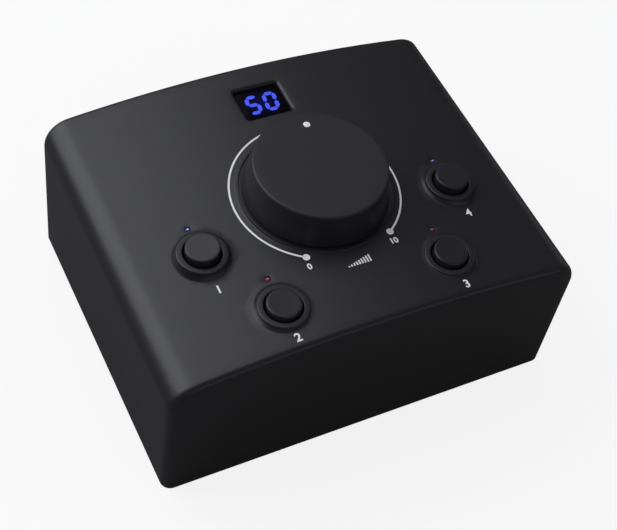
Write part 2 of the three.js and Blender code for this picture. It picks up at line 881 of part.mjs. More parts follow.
function addCase() {
  place(group, 'top_cover', toGeometry(topCoverSolid()), softBlack);
  place(group, 'base_plate', toGeometry(basePlateSolid()), darkSteel);
  place(group, 'rear_panel', toGeometry(rearPanelSolid()), satinBlack);
  footPlaces().forEach(({ name, x, y }) => {
    place(group, `foot_${name}`, weld(footGeometry()), rubber, x, y);
  });
  coverScrews.forEach(({ name, x, y }) => {
    place(group, `base_screw_${name}`, toGeometry(countersunkScrew()), steel, x, y, caseBottom);
  });
}

function addMainBoard() {
  place(group, 'main_board', toGeometry(mainBoardSolid()), laminate);
  standoffs.filter(({ screwed }) => screwed).forEach(({ x, y }) => {
    const side = x < 0 ? 'left' : 'right';
    const screw = place(
      group, `main_board_screw_${side}`, toGeometry(panScrew()), steel, x, y,
      mainBoardTop + screwHeadHeight + clearance,
    );
    screw.rotation.x = Math.PI;
  });
  place(
    group, 'radio_module', block(radioWidth, radioDepth, 0, radioHeight), shield,
    mainBoardWidth / 2 - radioSideInset, mainBoardFront + radioFrontInset, mainBoardTop,
  );
  place(
    group, 'mute_relay', block(relayWidth, relayDepth, 0, relayHeight), beige,
    mainBoardWidth / 2 - relaySideInset, mainBoardFront + relayFrontInset, mainBoardTop,
  );
  place(
    group, 'supply_capacitor', weld(post(capacitorRadius, 0, capacitorHeight, coarse)), nylon,
    mainBoardWidth / 2 - capacitorSideInset, mainBoardFront + capacitorFrontInset, mainBoardTop,
  );
}

function addSockets() {
  jackNames.forEach((name, i) => {
    place(group, name, toGeometry(jackSolid()), nylon, socketX[i]);
    place(group, `${name}_nut`, toGeometry(jackNutSolid()), steel, socketX[i]);
  });
  place(group, 'aux_input', toGeometry(auxSocketSolid()), nylon, auxX);
  place(group, 'power_inlet', toGeometry(powerInletSolid()), nylon, inletX);
}

function addControlBoard() {
  place(panel, 'control_board', toGeometry(controlBoardSolid()), laminate);
  posts.filter(({ screwed }) => screwed).forEach(({ name, x, y }) => {
    place(
      panel, `control_board_screw_${name}`, toGeometry(panScrew()), steel, x, y,
      controlBoardLevel - boardThickness - screwHeadHeight - clearance,
    );
  });
  place(panel, 'display_window', toGeometry(windowSolid()), glass, 0, displayY);
  place(panel, 'display_module', displayModuleGeometry(), nylon, 0, displayY);
}

function addCable() {
  const width = cableWidth + headerMargin;
  const level = mainBoardTop;
  place(group, 'flat_cable', weld(flatCableGeometry()), ribbon);
  place(group, 'main_header', block(width, headerDepth, 0, headerHeight), nylon, cableX, cableY, level);
  place(
    panel, 'control_header', block(width, headerDepth, -headerHeight, 0), nylon, cableX, cableY,
    controlBoardLevel - boardThickness - clearance,
  );
}

function addVolumeControl() {
  place(panel, 'potentiometer', toGeometry(potentiometerSolid()), shield, 0, knobY);
  place(panel, 'potentiometer_nut', toGeometry(potNutSolid()), steel, 0, knobY);
  const turning = new THREE.Group();
  turning.position.y = knobY;
  turning.rotation.z = THREE.MathUtils.degToRad(pointerTurn);
  panel.add(turning);
  place(turning, 'volume_knob', toGeometry(knobSolid()), satinBlack);
  place(turning, 'pointer_dot', weld(pointerGeometry()), whitePrint);
  place(turning, 'potentiometer_shaft', toGeometry(shaftSolid()), steel);
}

function addButton(button) {
  const { name, x, y } = button;
  place(panel, `button_cap_${name}`, weld(capGeometry()), satinBlack, x, y);
  place(panel, `switch_plunger_${name}`, weld(plungerGeometry()), nylon, x, y);
  place(panel, `switch_${name}`, toGeometry(switchSolid()), nylon, x, y);
  place(
    panel, `status_light_${name}`, weld(statusLightGeometry(button)), lens, x, y + lightOffset,
  );
}

addCase();
addMainBoard();
addSockets();
addControlBoard();
addCable();
addVolumeControl();
buttons.forEach(addButton);

export default group;
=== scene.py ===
"""Desktop monitor controller, dressed for rendering: fine meshes, prints, finishes, light, camera.

Sizes are in millimetres, as in the part's source, and become metres when a mesh is made.
"""

import json
import math

import bmesh
import bpy
from mathutils import Matrix, Vector, geometry, kdtree


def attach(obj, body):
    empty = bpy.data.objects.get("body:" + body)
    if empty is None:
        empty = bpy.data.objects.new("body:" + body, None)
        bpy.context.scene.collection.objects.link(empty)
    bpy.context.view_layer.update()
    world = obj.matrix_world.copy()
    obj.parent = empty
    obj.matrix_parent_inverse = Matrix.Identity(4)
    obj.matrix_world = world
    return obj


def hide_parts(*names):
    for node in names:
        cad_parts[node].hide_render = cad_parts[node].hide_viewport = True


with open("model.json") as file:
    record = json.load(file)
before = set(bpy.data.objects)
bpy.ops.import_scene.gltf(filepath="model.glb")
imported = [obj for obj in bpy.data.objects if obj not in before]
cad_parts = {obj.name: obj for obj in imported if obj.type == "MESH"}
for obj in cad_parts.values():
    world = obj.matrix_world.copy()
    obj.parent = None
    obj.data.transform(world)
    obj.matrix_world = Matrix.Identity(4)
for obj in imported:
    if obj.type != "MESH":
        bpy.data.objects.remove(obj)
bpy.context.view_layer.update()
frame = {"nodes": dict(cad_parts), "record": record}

MM = 0.001

# Case, as in the part's source
CASE_WIDTH = 140.0
CASE_DEPTH = 110.0
SIDE_HEIGHT = 51.3
PANEL_RISE = 3.4
CROWN_RISE = 5.4
SHOULDER_RADIUS = 9.8
EDGE_RADIUS = 2.0
CORNER_RADIUS = 3.4
REAR_EDGE_RADIUS = 1.7
WALL = 2.2
CASE_BOTTOM = 1.5
REAR_OVERHANG = 3.0
LIP_ROUND = 0.25

SLOPE = PANEL_RISE / CASE_DEPTH
LEAN = math.atan(SLOPE)
FRONT_Y = -CASE_DEPTH / 2
REAR_Y = CASE_DEPTH / 2
CREST = CASE_BOTTOM + SIDE_HEIGHT + CROWN_RISE + SLOPE * REAR_Y
CROWN_RADIUS = ((CASE_WIDTH / 2) ** 2 + CROWN_RISE ** 2) / (2 * CROWN_RISE)

# Knob, with levels over the panel
KNOB_Y = -2.3
KNOB_BASE_RADIUS = 23.5
KNOB_TOP_RADIUS = 21.6
KNOB_BASE = 0.35
KNOB_TOP = 12.1
KNOB_ROUND = 0.75
KNOB_FOOT_ROUND = 0.2
KNOB_RECESS_RADIUS = 14.0
KNOB_CEILING = 5.4
SHAFT_RADIUS = 3.15
SHAFT_TOP = 9.9
BUSHING_HOLE = 4.5
POINTER_RADIUS = 1.14
POINTER_OFFSET = 16.6
POINTER_TURN = math.radians(-10)

# Level seat under the knob with its groove. The wall of the seat is given by how far it stands out
# and by the share of the way from the crown to the seat's level.
PLATEAU_LEVEL = 0.1
PLATEAU_RADIUS = 25.0
PLATEAU_WALL = (
    (0.25, 0.0), (0.12, 0.05), (0.05, 0.2), (0.0, 0.5), (-0.02, 0.8), (-0.1, 0.95), (-0.24, 1.0),
)
GROOVE_INNER = 22.7
GROOVE_OUTER = 24.5
GROOVE_DEPTH = 0.4
GROOVE_EASE = 0.1
GROOVE_DRAFT = 0.03

# Buttons: name, place on the panel, height and sideways lean of the cap, glow of the light behind
BUTTONS = (
    ("left_outer", -43.4, -13.5, 2.65, -4.5, 1.0),
    ("left_inner", -28.5, -39.7, 1.5, 0.5, 1.0),
    ("right_inner", 28.5, -39.7, 1.65, 3.0, 0.55),
    ("right_outer", 43.4, -13.5, 2.5, 2.0, 0.5),
)
COLLAR_FOOT = 9.2
COLLAR_TOP = 8.1
COLLAR_LEVEL = 0.0
COLLAR_ROUND = 0.45
COLLAR_ROUND_SHARE = 0.8
COLLAR_FLARE = 1.45
BUTTON_HOLE = 6.0
HOLE_ROUND = 0.3
GUIDE_RADIUS = 7.6
GUIDE_FOOT = -4.9
CAP_RADIUS = 5.45
CAP_ROUND = 0.5
CAP_DISH = 0.05
CAP_DISH_SHARE = 0.8
CAP_FLANGE_RADIUS = 7.0
CAP_FLANGE_TOP = -5.2
CAP_FLANGE_FOOT = -6.2
CAP_STEM_RADIUS = 2.6
CAP_STEM_FOOT = -7.6

# Status lights. The dish round each is given by radius and depth.
LIGHT_OFFSET = 11.1
LIGHT_HOLE = 0.95
LIGHT_DISH = ((1.1, 0.0), (1.05, 0.012), (1.0, 0.035), (LIGHT_HOLE, 0.08))
LENS_RADIUS = 0.84
LENS_FOOT = -4.0
LENS_SINK = 0.35
LENS_DOME = 0.4
CORE_RADIUS = 0.32
CORE_DOME = 0.12

# Display
DISPLAY_Y = 38.3
DISPLAY_WIDTH = 16.0
DISPLAY_DEPTH = 13.3
DISPLAY_CORNER = 1.0
RIM_ROUND = 1.15
WINDOW_TOP = -1.4
WINDOW_GAP = 0.3
WINDOW_FOOT = -3.9
WINDOW_ROUND = 0.2
DIGIT_HEIGHT = 8.3
DIGIT_WIDTH = 4.9
DIGIT_STROKE = 1.4
DIGIT_GAP = 0.14
DIGIT_PITCH = 6.3
DIGIT_SLANT = 0.12
SEGMENTS = {"0": "abcdef", "5": "acdfg"}

# White print: the ring round the knob, a row of rising bars, and plain figures given by text,
# height and place
PRINT_PROUD = 0.03
PRINT_SINK = 0.05
RING_RADIUS = 27.4
RING_WIDTH = 0.62
RING_MIN_ANGLE = math.radians(238.4)
RING_MAX_ANGLE = math.radians(-57.2)
RING_DOT_RADIUS = 1.18
WEDGE_X = 0.4
WEDGE_Y = -32.4
WEDGE_WIDTH = 8.4
WEDGE_LOW = 0.5
WEDGE_HIGH = 2.6
WEDGE_BARS = 9
WEDGE_BAR_SHARE = 0.55
FIGURE_BOLD = 0.09
FIGURES = (
    ("1", 4.0, -43.4, -26.6),
    ("2", 4.0, -28.9, -50.9),
    ("3", 4.0, 28.4, -51.1),
    ("4", 4.0, 43.8, -25.9),
    ("0", 2.9, -14.9, -29.2),
    ("10", 2.9, 14.3, -29.0),
)
REAR_FIGURE_SIZE = 3.7
REAR_FIGURE_Z = 32.5

# Rear panel and sockets. Each body is given by its width, its lowest and highest level, and the
# depths of its inner and its outer end.
PLATE_GAP = 0.05
PLATE_ROUND = 0.3
REAR_PLATE_Y = REAR_Y - REAR_OVERHANG
REAR_PLATE_THICKNESS = 2.0
SOCKET_EDGE = 0.3
SOCKET_CORNER = 0.7
BEVEL = 0.1
THREAD_PITCH = 0.6
THREAD_DEPTH = 0.22
THREAD_SINK = 2.0
JACKS = {
    "input_socket_left": -50.0,
    "input_socket_right": -31.5,
    "main_output_left": -13.0,
    "main_output_right": 5.5,
    "sub_output": 24.0,
}
JACK_AXIS = 21.6
JACK_BODY = (14.0, 15.4, 28.1, 25.7, 49.7)
JACK_HOLE_RADIUS = 5.05
JACK_NOSE_RADIUS = 4.75
JACK_NOSE_Y = 54.6
JACK_NOSE_BREAK = (0.08, 0.12)
JACK_NOSE_BEVEL = 0.25
JACK_THREAD_END = 0.4
JACK_BORE_RADIUS = 3.2
JACK_BORE_DEPTH = 21.0
SLEEVE_RADIUS = 3.8
SLEEVE_LENGTH = 5.0
SLEEVE_SINK = 0.15
SLEEVE_GAP = 0.05
SLEEVE_MOUTH = (0.3, 0.35)
LEAF_WIDTH = 1.5
LEAF_THICKNESS = 0.25
LEAF_LIFT = 1.1
JACK_LEAF_FOOT = 3.0
JACK_LEAF_LENGTH = 9.0
NUT_FLAT = 6.4
NUT_NEAR_Y = 52.15
NUT_HEIGHT = 2.0
NUT_BORE = 4.9
NUT_BORE_BEVEL = 0.35
NUT_FACE_SHARE = 0.95
NUT_CONE = math.radians(30)
NUT_CONE_DEPTHS = (0.0, 0.1, 0.25, 0.4, 0.55, 0.8)
AUX_X = 39.5
AUX_AXIS = 18.1
AUX_BODY = (8.0, 15.4, 21.1, 36.7, 49.7)
AUX_HOLE_RADIUS = 3.3
AUX_NOSE_RADIUS = 2.7
AUX_NOSE_Y = 53.2
AUX_NOSE_BEVEL = 0.2
AUX_THREAD_END = 0.35
AUX_BORE_RADIUS = 1.8
AUX_BORE_DEPTH = 12.0
AUX_BORE_BEVEL = 0.25
AUX_RING_RADIUS = 3.9
AUX_RING_Y = 52.85
AUX_RING_BEVEL = 0.25
AUX_RING_EASE = 0.15
AUX_RING_NOTCHES = 36
AUX_RING_NOTCH = 0.12
INLET_X = 52.5
INLET_AXIS = 20.9
INLET_BODY = (9.0, 15.4, 26.1, 38.9, 52.4)
INLET_HOLE_WIDTH = 9.6
INLET_HOLE_HEIGHT = 11.6
INLET_HOLE_CORNER = 0.5
INLET_BORE_RADIUS = 3.15
INLET_BORE_DEPTH = 9.0
INLET_BORE_BEVEL = 0.3
INLET_PIN_RADIUS = 1.0
INLET_PIN_ROUND = 0.4
INLET_PIN_FOOT = -0.3
INLET_PIN_REACH = 8.6
INLET_LEAF_FOOT = 1.5
INLET_LEAF_LENGTH = 6.5

# Base, feet and screws. The hollow of a foot's sole is given by radius and height. A pillar is
# given by its place and by whether it has a bore.
BASE_THICKNESS = 2.0
BASE_CORNER = 1.0
FOOT_RADIUS = 6.5
FOOT_HEIGHT = 2.5
FOOT_ROUND = 0.6
FOOT_HOLLOW = ((0.0, 0.35), (4.3, 0.35), (4.55, 0.28), (4.75, 0.0))
FOOT_HOLE_RADIUS = 6.8
CORNERS = {"front_left": (-1, -1), "front_right": (1, -1), "rear_left": (-1, 1), "rear_right": (1, 1)}
FOOT_PLACES = {name: (54.0 * side, 39.0 * end) for name, (side, end) in CORNERS.items()}
SCREW_PLACES = {name: (62.0 * side, 38.0 * end - 8.0) for name, (side, end) in CORNERS.items()}
SCREW_RADIUS = 1.3
SCREW_LENGTH = 11.0
SCREW_NECK = 0.3
SCREW_HEAD_RADIUS = 2.7
SCREW_HEAD_HEIGHT = 1.5
SCREW_HEAD_BREAK = (0.12, 0.1)
SCREW_HOLE_GAP = 0.3
CROSS_ARM = 1.5
CROSS_HALF = 0.32
CROSS_DEPTH = 0.9
CROSS_FLOOR_SHARES = (0.55, 0.8)
PILLAR_PLACES = (
    (-52.0, -29.0, True), (52.0, -29.0, True), (-52.0, 8.0, False), (52.0, 8.0, False),
)
PILLAR_RADIUS = 3.2
PILLAR_TOP = 13.5
PILLAR_BORE_FOOT = 8.0

# Counts that set how finely the surfaces are divided
SIDE_STEPS = 16
SHOULDER_STEPS = 14
CROWN_STEPS = 60
DEPTH_STEPS = 54
ROUND_STEPS = 6
SMALL_ROUND_STEPS = 4
SEAT_STEPS = 144
KNOB_STEPS = 160
CAP_STEPS = 96
COLLAR_STEPS = 72
WIDE_STEPS = 64
NARROW_STEPS = 48
DOT_STEPS = 40
PIN_STEPS = 32
LENS_STEPS = 24
CORE_STEPS = 20
LEAF_STEPS = 12
RING_STEPS = 180
GRID = 2.0
GRID_DISTANCE_SHARE = 0.6
FLAT_GRID = 9.0

WELD = 0.000001
TEXT_WELD = 0.00004
PATCH_TOLERANCE = 0.00001
SHARP_ANGLE = math.radians(38)
FINE_ANGLE = math.radians(20)

# Finishes by material slot: name, colour, roughness, grain size and grain depth, then, where it
# isn't the usual one, metallic share, specular level, cloudiness and unevenness of the roughness
FINISHES = {
    "cover": ("cover_plastic", (0.0136, 0.0134, 0.0158), 0.37, 0.45, 0.01, 0.0, 0.48, 0.04, 0.012),
    "knob": ("knob_soft_plastic", (0.0172, 0.0168, 0.0196), 0.46, 0.35, 0.008, 0.0, 0.41, 0.04, 0.012),
    "button": ("button_plastic", (0.0136, 0.0134, 0.0158), 0.36, 0.3, 0.006, 0.0, 0.48, 0.04, 0.012),
    "print": ("white_ink", (0.8, 0.8, 0.8), 0.5, 0.2, 0.002, 0.0, 0.3, 0.03),
    "window": ("window_glass", (0.003, 0.003, 0.004), 0.18, 0.4, 0.0, 0.0, 0.03, 0.08, 0.02),
    "rear": ("rear_plastic", (0.014, 0.0138, 0.0156), 0.45, 0.5, 0.014, 0.0, 0.45, 0.05),
    "base": ("base_metal", (0.015, 0.015, 0.0165), 0.48, 0.7, 0.03, 0.0, 0.45, 0.06),
    "feet": ("foot_rubber", (0.012, 0.012, 0.012), 0.85, 0.25, 0.01, 0.0, 0.2),
    "screws": ("zinc_steel", (0.55, 0.55, 0.57), 0.35, 0.4, 0.002, 1.0),
    "socket": ("socket_nylon", (0.0105, 0.0105, 0.0115), 0.42, 0.3, 0.006, 0.0, 0.45),
    "nut": ("nickel", (0.66, 0.64, 0.6), 0.3, 0.25, 0.0015, 1.0, 0.5, 0.04),
    "board": ("solder_mask", (0.01, 0.08, 0.035), 0.4, 1.2, 0.01),
    "shaft": ("turned_alloy", (0.6, 0.6, 0.62), 0.3, 0.1, 0.002, 1.0),
    "switch": ("switch_nylon", (0.02, 0.02, 0.022), 0.5, 0.3, 0.004),
    "module": ("module_plastic", (0.015, 0.015, 0.017), 0.5, 0.4, 0.004),
    "cable": ("ribbon_grey", (0.25, 0.25, 0.27), 0.5, 0.5, 0.01),
    "shield": ("tinned_shield", (0.6, 0.6, 0.6), 0.35, 0.5, 0.004, 1.0),
    "relay": ("relay_case", (0.6, 0.55, 0.35), 0.4, 0.5, 0.004),
}
CLOUD_SIZE = 14.0
NOISE_LOW = 0.3
NOISE_HIGH = 0.7

# Lit plastics: colour of the light, its strength and the unlit colour
LIGHTS = {
    "light_blue": {
        "lens": ((0.10, 0.18, 1.0), 0.085, (0.01, 0.012, 0.03)),
        "core": ((0.64, 0.71, 1.0), 0.75, (0.02, 0.02, 0.04)),
    },
    "light_red": {
        "lens": ((1.0, 0.06, 0.16), 0.070, (0.03, 0.008, 0.010)),
        "core": ((1.0, 0.42, 0.52), 0.24, (0.04, 0.02, 0.02)),
    },
}
DIGIT_LIGHT = ((0.05, 0.085, 1.0), 0.9, (0.02, 0.02, 0.03))
LIT_ROUGHNESS = 0.25
LIT_UNEVENNESS = 0.06
LIT_CLOUD_SIZE = 0.5
GLOW_COLOUR = (0.02, 0.04, 1.0)
GLOW_STRENGTH = 0.06
GLOW_WIDTH = 9.0
GLOW_DEPTH = 7.0

# Floor and surround: shares of white that the camera and mirrored rays see
FLOOR_HALF = 20.0
FLOOR_COLOUR = (0.80, 0.80, 0.80)
FLOOR_BOUNCE_COLOUR = (0.138, 0.138, 0.138)
FLOOR_ROUGHNESS = 0.9
FLOOR_SEEN_SHARE = 0.85
FLOOR_MIRRORED_SHARE = 0.012
WORLD_STRENGTH = 0.34
WORLD_MIRRORED_SHARE = 0.07

# Soft lamps: name, azimuth, elevation and roll in degrees, distance, width and height in metres,
# and brightness
LAMPS = (
    ("key_top", 166.3, 61.8, -1.3, 2.23, 0.70, 1.5, 1.26),
    ("key_high", -162.6, 57.6, -28.3, 1.82, 0.70, 1.5, 1.59),
    ("key_middle", -135.0, 43.0, -49.8, 1.61, 0.70, 1.5, 2.55),
    ("key_low", -118.7, 23.8, -58.9, 1.69, 0.65, 1.5, 2.32),
    ("key_foot", -109.4, 8.0, -61.5, 1.99, 0.65, 1.5, 0.50),
    ("front", 15.0, 18.0, 0.0, 1.6, 2.2, 0.7, 0.46),
    ("right_low", 104.0, 4.0, 0.0, 1.8, 0.9, 0.3, 0.5),
    ("rear_low", 158.0, 40.0, 0.0, 2.2, 1.8, 0.5, 0.13),
)
LAMP_COLOUR = (0.97, 0.985, 1.075)
LAMP_TARGET = (0.0, 0.0, 0.04)

# Camera in degrees and metres, from a fit to the case's outline, the printed ring and the knob
CAMERA_AZIMUTH = -34.51
CAMERA_ELEVATION = 50.57
CAMERA_ROLL = math.radians(11.19)
CAMERA_DISTANCE = 0.4424
CAMERA_AIM = (0.0, 0.0, 0.0265)
CAMERA_SHIFT_RIGHT = 0.00288
CAMERA_SHIFT_UP = -0.00483
CAMERA_NEAR = 0.01
PHOTO_WIDTH = 617
FOCAL_PIXELS = 1318.51
SENSOR_WIDTH = 36.0

QUARTERS = ((1, 1), (-1, 1), (-1, -1), (1, -1))
WHITE = (1, 1, 1, 1)

TO_ROW = Matrix.Translation((0, 0, CREST)) @ Matrix.Rotation(LEAN, 4, "X")
TO_PANEL = TO_ROW.inverted()
PANEL = Matrix.Scale(MM, 4) @ TO_ROW
CASE = Matrix.Scale(MM, 4)


def spread(first, last, steps):
    """Evenly spaced values from first to last, both included."""
    return [first + (last - first) * k / steps for k in range(steps + 1)]


def crown(x):
    """Height of the crowned top over the panel's plane."""
    return math.sqrt(CROWN_RADIUS ** 2 - x ** 2) - CROWN_RADIUS


def roof(x):
    """Height of the inner side of the top over the panel's plane."""
    return math.sqrt((CROWN_RADIUS - WALL) ** 2 - x ** 2) - CROWN_RADIUS


# Pieces

def add_object(name, data):
    made = bpy.data.objects.new(name, data)
    bpy.context.scene.collection.objects.link(made)
    return made


def piece(name, part, slot, body="root", nodes=(), place=PANEL, material=None,
          sharp=SHARP_ANGLE, weld=WELD):
    """Makes one object of the dressed part from points in millimetres and faces."""
    points, faces = part
    mesh = bpy.data.meshes.new(name)
    mesh.from_pydata([place @ Vector(p) for p in points], [], faces)
    work = bmesh.new()
    work.from_mesh(mesh)
    bmesh.ops.remove_doubles(work, verts=work.verts, dist=weld)
    bmesh.ops.recalc_face_normals(work, faces=work.faces)
    for face in work.faces:
        face.smooth = True
    work.to_mesh(mesh)
    work.free()
    mesh.set_sharp_from_angle(angle=sharp)
    mesh.materials.append(material or FINISH[slot])
    made = add_object(name, mesh)
    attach(made, body)
    if nodes:
        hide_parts(*nodes)


def circle(radius, steps, x=0.0, y=0.0):
    return [
        (x + radius * math.cos(a), y + radius * math.sin(a))
        for a in spread(0, 2 * math.pi, steps)[:-1]
    ]


def rounded_loop(width, height, radius, inset=0.0, x=0.0, y=0.0, sides=8, corner=6):
    """Rounded rectangle, set in on all sides, with the same number of points at any size."""
    radius -= inset
    across, along = (width - 2 * inset) / 2 - radius, (height - 2 * inset) / 2 - radius
    loop = []
    for k, (sx, sy) in enumerate(QUARTERS):
        start, end = k * math.pi / 2, (k + 1) * math.pi / 2
        loop += [
            (sx * across + radius * math.cos(a), sy * along + radius * math.sin(a))
            for a in spread(start, end, corner)
        ]
        nx, ny = QUARTERS[(k + 1) % 4]
        goal = (nx * across + radius * math.cos(end), ny * along + radius * math.sin(end))
        first = loop[-1]
        for share in spread(0, 1, sides)[1:-1]:
            loop.append(tuple(a + (b - a) * share for a, b in zip(first, goal)))
    return shifted(loop, x, y)


def shifted(loop, x, y):
    return [(px + x, py + y) for px, py in loop]


def ring(radius, level, steps, x=0.0, y=0.0):
    return on_level(circle(radius, steps, x, y), level)


def on_crown(loop, lift):
    """Plan points, lifted that far over the crown."""
    return [(x, y, crown(x) + lift) for x, y in loop]


def on_level(loop, level):
    """The same loop at a level, which may be a number or a function of x."""
    return [(p[0], p[1], level(p[0]) if callable(level) else level) for p in loop]


def bridge(loops, closed=True):
    """Points and faces of the strips that join successive loops of equal length."""
    points, faces = [], []
    count = len(loops[0])
    for loop in loops:
        points += loop
    for row in range(len(loops) - 1):
        for k in range(count if closed else count - 1):
            n = (k + 1) % count
            low, high = row * count, (row + 1) * count
            faces.append((low + k, low + n, high + n, high + k))
    return points, faces


def solid(loops):
    """Strips between successive loops, closed by a face at each end."""
    points, faces = bridge(loops)
    count = len(loops[0])
    faces.append(tuple(range(count)))
    faces.append(tuple(range(len(points) - count, len(points))))
    return points, faces


def revolve(profile, steps, x=0.0, y=0.0):
    """Turns (radius, level) points about an upright axis. A radius of zero makes one point."""
    points, faces, rows = [], [], []
    for radius, level in profile:
        loop = circle(radius, steps, x, y) if radius > 0 else [(x, y)]
        rows.append(range(len(points), len(points) + len(loop)))
        points += [(px, py, level) for px, py in loop]
    for low, high in zip(rows, rows[1:]):
        for k in range(steps):
            corners = (
                low[k % len(low)], low[(k + 1) % len(low)],
                high[(k + 1) % len(high)], high[k % len(high)],
            )
            face = tuple(dict.fromkeys(corners))
            if len(face) > 2:
                faces.append(face)
    return points, faces


def merge(*parts):
    """Several lists of points and faces as one."""
    points, faces = [], []
    for some_points, some_faces in parts:
        start = len(points)
        points += some_points
        faces += [tuple(start + i for i in face) for face in some_faces]
    return points, faces


def quarter(size, steps):
    """Points of a quarter round, as distances from the face where it starts and from the face
    where it ends."""
    return [
        (size * (1 - math.cos(a)), size * (1 - math.sin(a)))
        for a in spread(0, math.pi / 2, steps)
    ]


def edge_round(radius, level, size, steps=ROUND_STEPS):
    """Quarter arc from a vertical wall of that radius up to a flat top at that level."""
    return [(radius - inset, level - drop) for inset, drop in quarter(size, steps)]


# Materials

def blank(name):
    material = bpy.data.materials.new(name)
    material.use_nodes = True
    tree = material.node_tree
    return material, tree, tree.nodes["Principled BSDF"]


def connect(tree, node, inputs):
    """Sets inputs of a node, each to a value or to an output of another node."""
    for key, source in inputs.items():
        if isinstance(source, bpy.types.NodeSocket):
            tree.links.new(source, node.inputs[key])
        else:
            node.inputs[key].default_value = source


def add_node(tree, kind, inputs=None, **settings):
    node = tree.nodes.new("ShaderNode" + kind)
    for key, value in settings.items():
        setattr(node, key, value)
    connect(tree, node, inputs or {})
    return node


def object_place(tree):
    return add_node(tree, "TexCoord").outputs["Object"]


def noise(tree, place, size, detail, seed=0.0):
    """Noise whose cells are about that many millimetres wide."""
    inputs = {"Vector": place, "Scale": 1 / (size * MM), "Detail": detail, "W": seed}
    return add_node(tree, "TexNoise", inputs, noise_dimensions="4D").outputs["Fac"]


def ranged(tree, source, low, high):
    """Maps the middle of a noise to the range from low to high."""
    return add_node(tree, "MapRange", {
        "Value": source, "From Min": NOISE_LOW, "From Max": NOISE_HIGH, "To Min": low, "To Max": high,
    }).outputs["Result"]


def surface(name, colour, roughness, grain, depth, metallic=0.0, specular=0.5, mottle=0.08, uneven=0.04):
    """Finish with a fine grain, cloudy colour and slightly uneven roughness."""
    material, tree, shader = blank(name)
    place = object_place(tree)
    cloud = noise(tree, place, CLOUD_SIZE, 3.0)
    smear = noise(tree, place, CLOUD_SIZE / 3, 2.0, seed=3.0)
    dark, light = ((*(c * gain for c in colour), 1) for gain in (1 - mottle, 1 + mottle))
    tint = add_node(tree, "Mix", {
        "Factor": ranged(tree, cloud, 0, 1), "A": dark, "B": light,
    }, data_type="RGBA")
    connect(tree, shader, {
        "Base Color": tint.outputs["Result"],
        "Roughness": ranged(tree, smear, roughness - uneven, roughness + uneven),
        "Metallic": metallic, "Specular IOR Level": specular,
    })
    if depth:
        fine = noise(tree, place, grain, 1.0, seed=7.0)
        bump = add_node(tree, "Bump", {"Height": fine, "Strength": 1.0, "Distance": depth * MM})
        connect(tree, shader, {"Normal": bump.outputs["Normal"]})
    return material


def glowing(name, colour, strength, base):
    """Lit plastic: its own light varies a little over the surface."""
    material, tree, shader = blank(name)
    cloud = noise(tree, object_place(tree), LIT_CLOUD_SIZE, 1.0)
    low, high = strength * (1 - LIT_UNEVENNESS), strength * (1 + LIT_UNEVENNESS)
    connect(tree, shader, {
        "Base Color": (*base, 1), "Roughness": LIT_ROUGHNESS, "Emission Color": (*colour, 1),
        "Emission Strength": ranged(tree, cloud, low, high),
    })
    return material


def add_glow(material):
    """Faint glow of the window round its lit characters."""
    tree = material.node_tree
    place = add_node(tree, "Mapping", {
        "Vector": object_place(tree),
        "Location": PANEL @ Vector((0, DISPLAY_Y, WINDOW_TOP)),
        "Scale": (GLOW_WIDTH * MM, GLOW_DEPTH * MM, GLOW_DEPTH * MM),
    }, vector_type="TEXTURE").outputs["Vector"]
    fade = add_node(tree, "TexGradient", {"Vector": place}, gradient_type="QUADRATIC_SPHERE")
    level = add_node(tree, "MapRange", {"Value": fade.outputs["Fac"], "To Max": GLOW_STRENGTH})
    connect(tree, tree.nodes["Principled BSDF"], {
        "Emission Color": (*GLOW_COLOUR, 1), "Emission Strength": level.outputs["Result"],
    })


FINISH = {slot: surface(*finish) for slot, finish in FINISHES.items()}
add_glow(FINISH["window"])


# Cover

def case_outline(inset, foot=CASE_BOTTOM):
    """Outline of the case seen from the front, from the left foot over the top to the right foot,
    and the level at which its shoulders begin."""
    half = CASE_WIDTH / 2 - inset
    shoulder = SHOULDER_RADIUS - inset
    arch = CROWN_RADIUS - inset
    centre = CASE_BOTTOM + SIDE_HEIGHT + CROWN_RISE - CROWN_RADIUS
    tangent = half - shoulder
    level = centre + math.sqrt((arch - shoulder) ** 2 - tangent ** 2)
    tip = math.acos(tangent / (arch - shoulder))
    left = [(-half, z) for z in spread(foot, level, SIDE_STEPS)[:-1]]
    left += [
        (-tangent - shoulder * math.cos(a), level + shoulder * math.sin(a))
        for a in spread(0, tip, SHOULDER_STEPS)
    ]
    top = [
        (arch * math.cos(a), centre + arch * math.sin(a))
        for a in spread(math.pi - tip, tip, CROWN_STEPS)[1:-1]
    ]
    return left + top + [(-x, z) for x, z in reversed(left)], level


def case_section(inset, y, foot=CASE_BOTTOM):
    """Cross-section of the case at a depth, raised towards the rear, as x and z."""
    outline, level = case_outline(inset, foot)
    section = []
    for x, z in outline:
        share = min(1.0, (z - CASE_BOTTOM) / (level - CASE_BOTTOM))
        section.append((x, z + SLOPE * (y - FRONT_Y) * share))
    return section


def case_row(inset, y):
    """The same cross-section as points in the panel's frame."""
    return [tuple(TO_PANEL @ Vector((x, y, z))) for x, z in case_section(inset, y)]


CROWN_FIRST = SIDE_STEPS + SHOULDER_STEPS
CROWN_LAST = CROWN_FIRST + CROWN_STEPS
COLUMNS = CROWN_FIRST + CROWN_LAST + 1


def front_radius(column):
    """Radius of the front edge: wide up the sides, narrower along the crowned top."""
    share = (min(column, COLUMNS - 1 - column) - SIDE_STEPS) / SHOULDER_STEPS
    share = min(1.0, max(0.0, share))
    return CORNER_RADIUS + (EDGE_RADIUS - CORNER_RADIUS) * share ** 2 * (3 - 2 * share)


def mixed_row(stations):
    """Cross-section whose points differ in inset and depth."""
    made = {station: case_row(*station) for station in set(stations)}
    return [made[station][column] for column, station in enumerate(stations)]


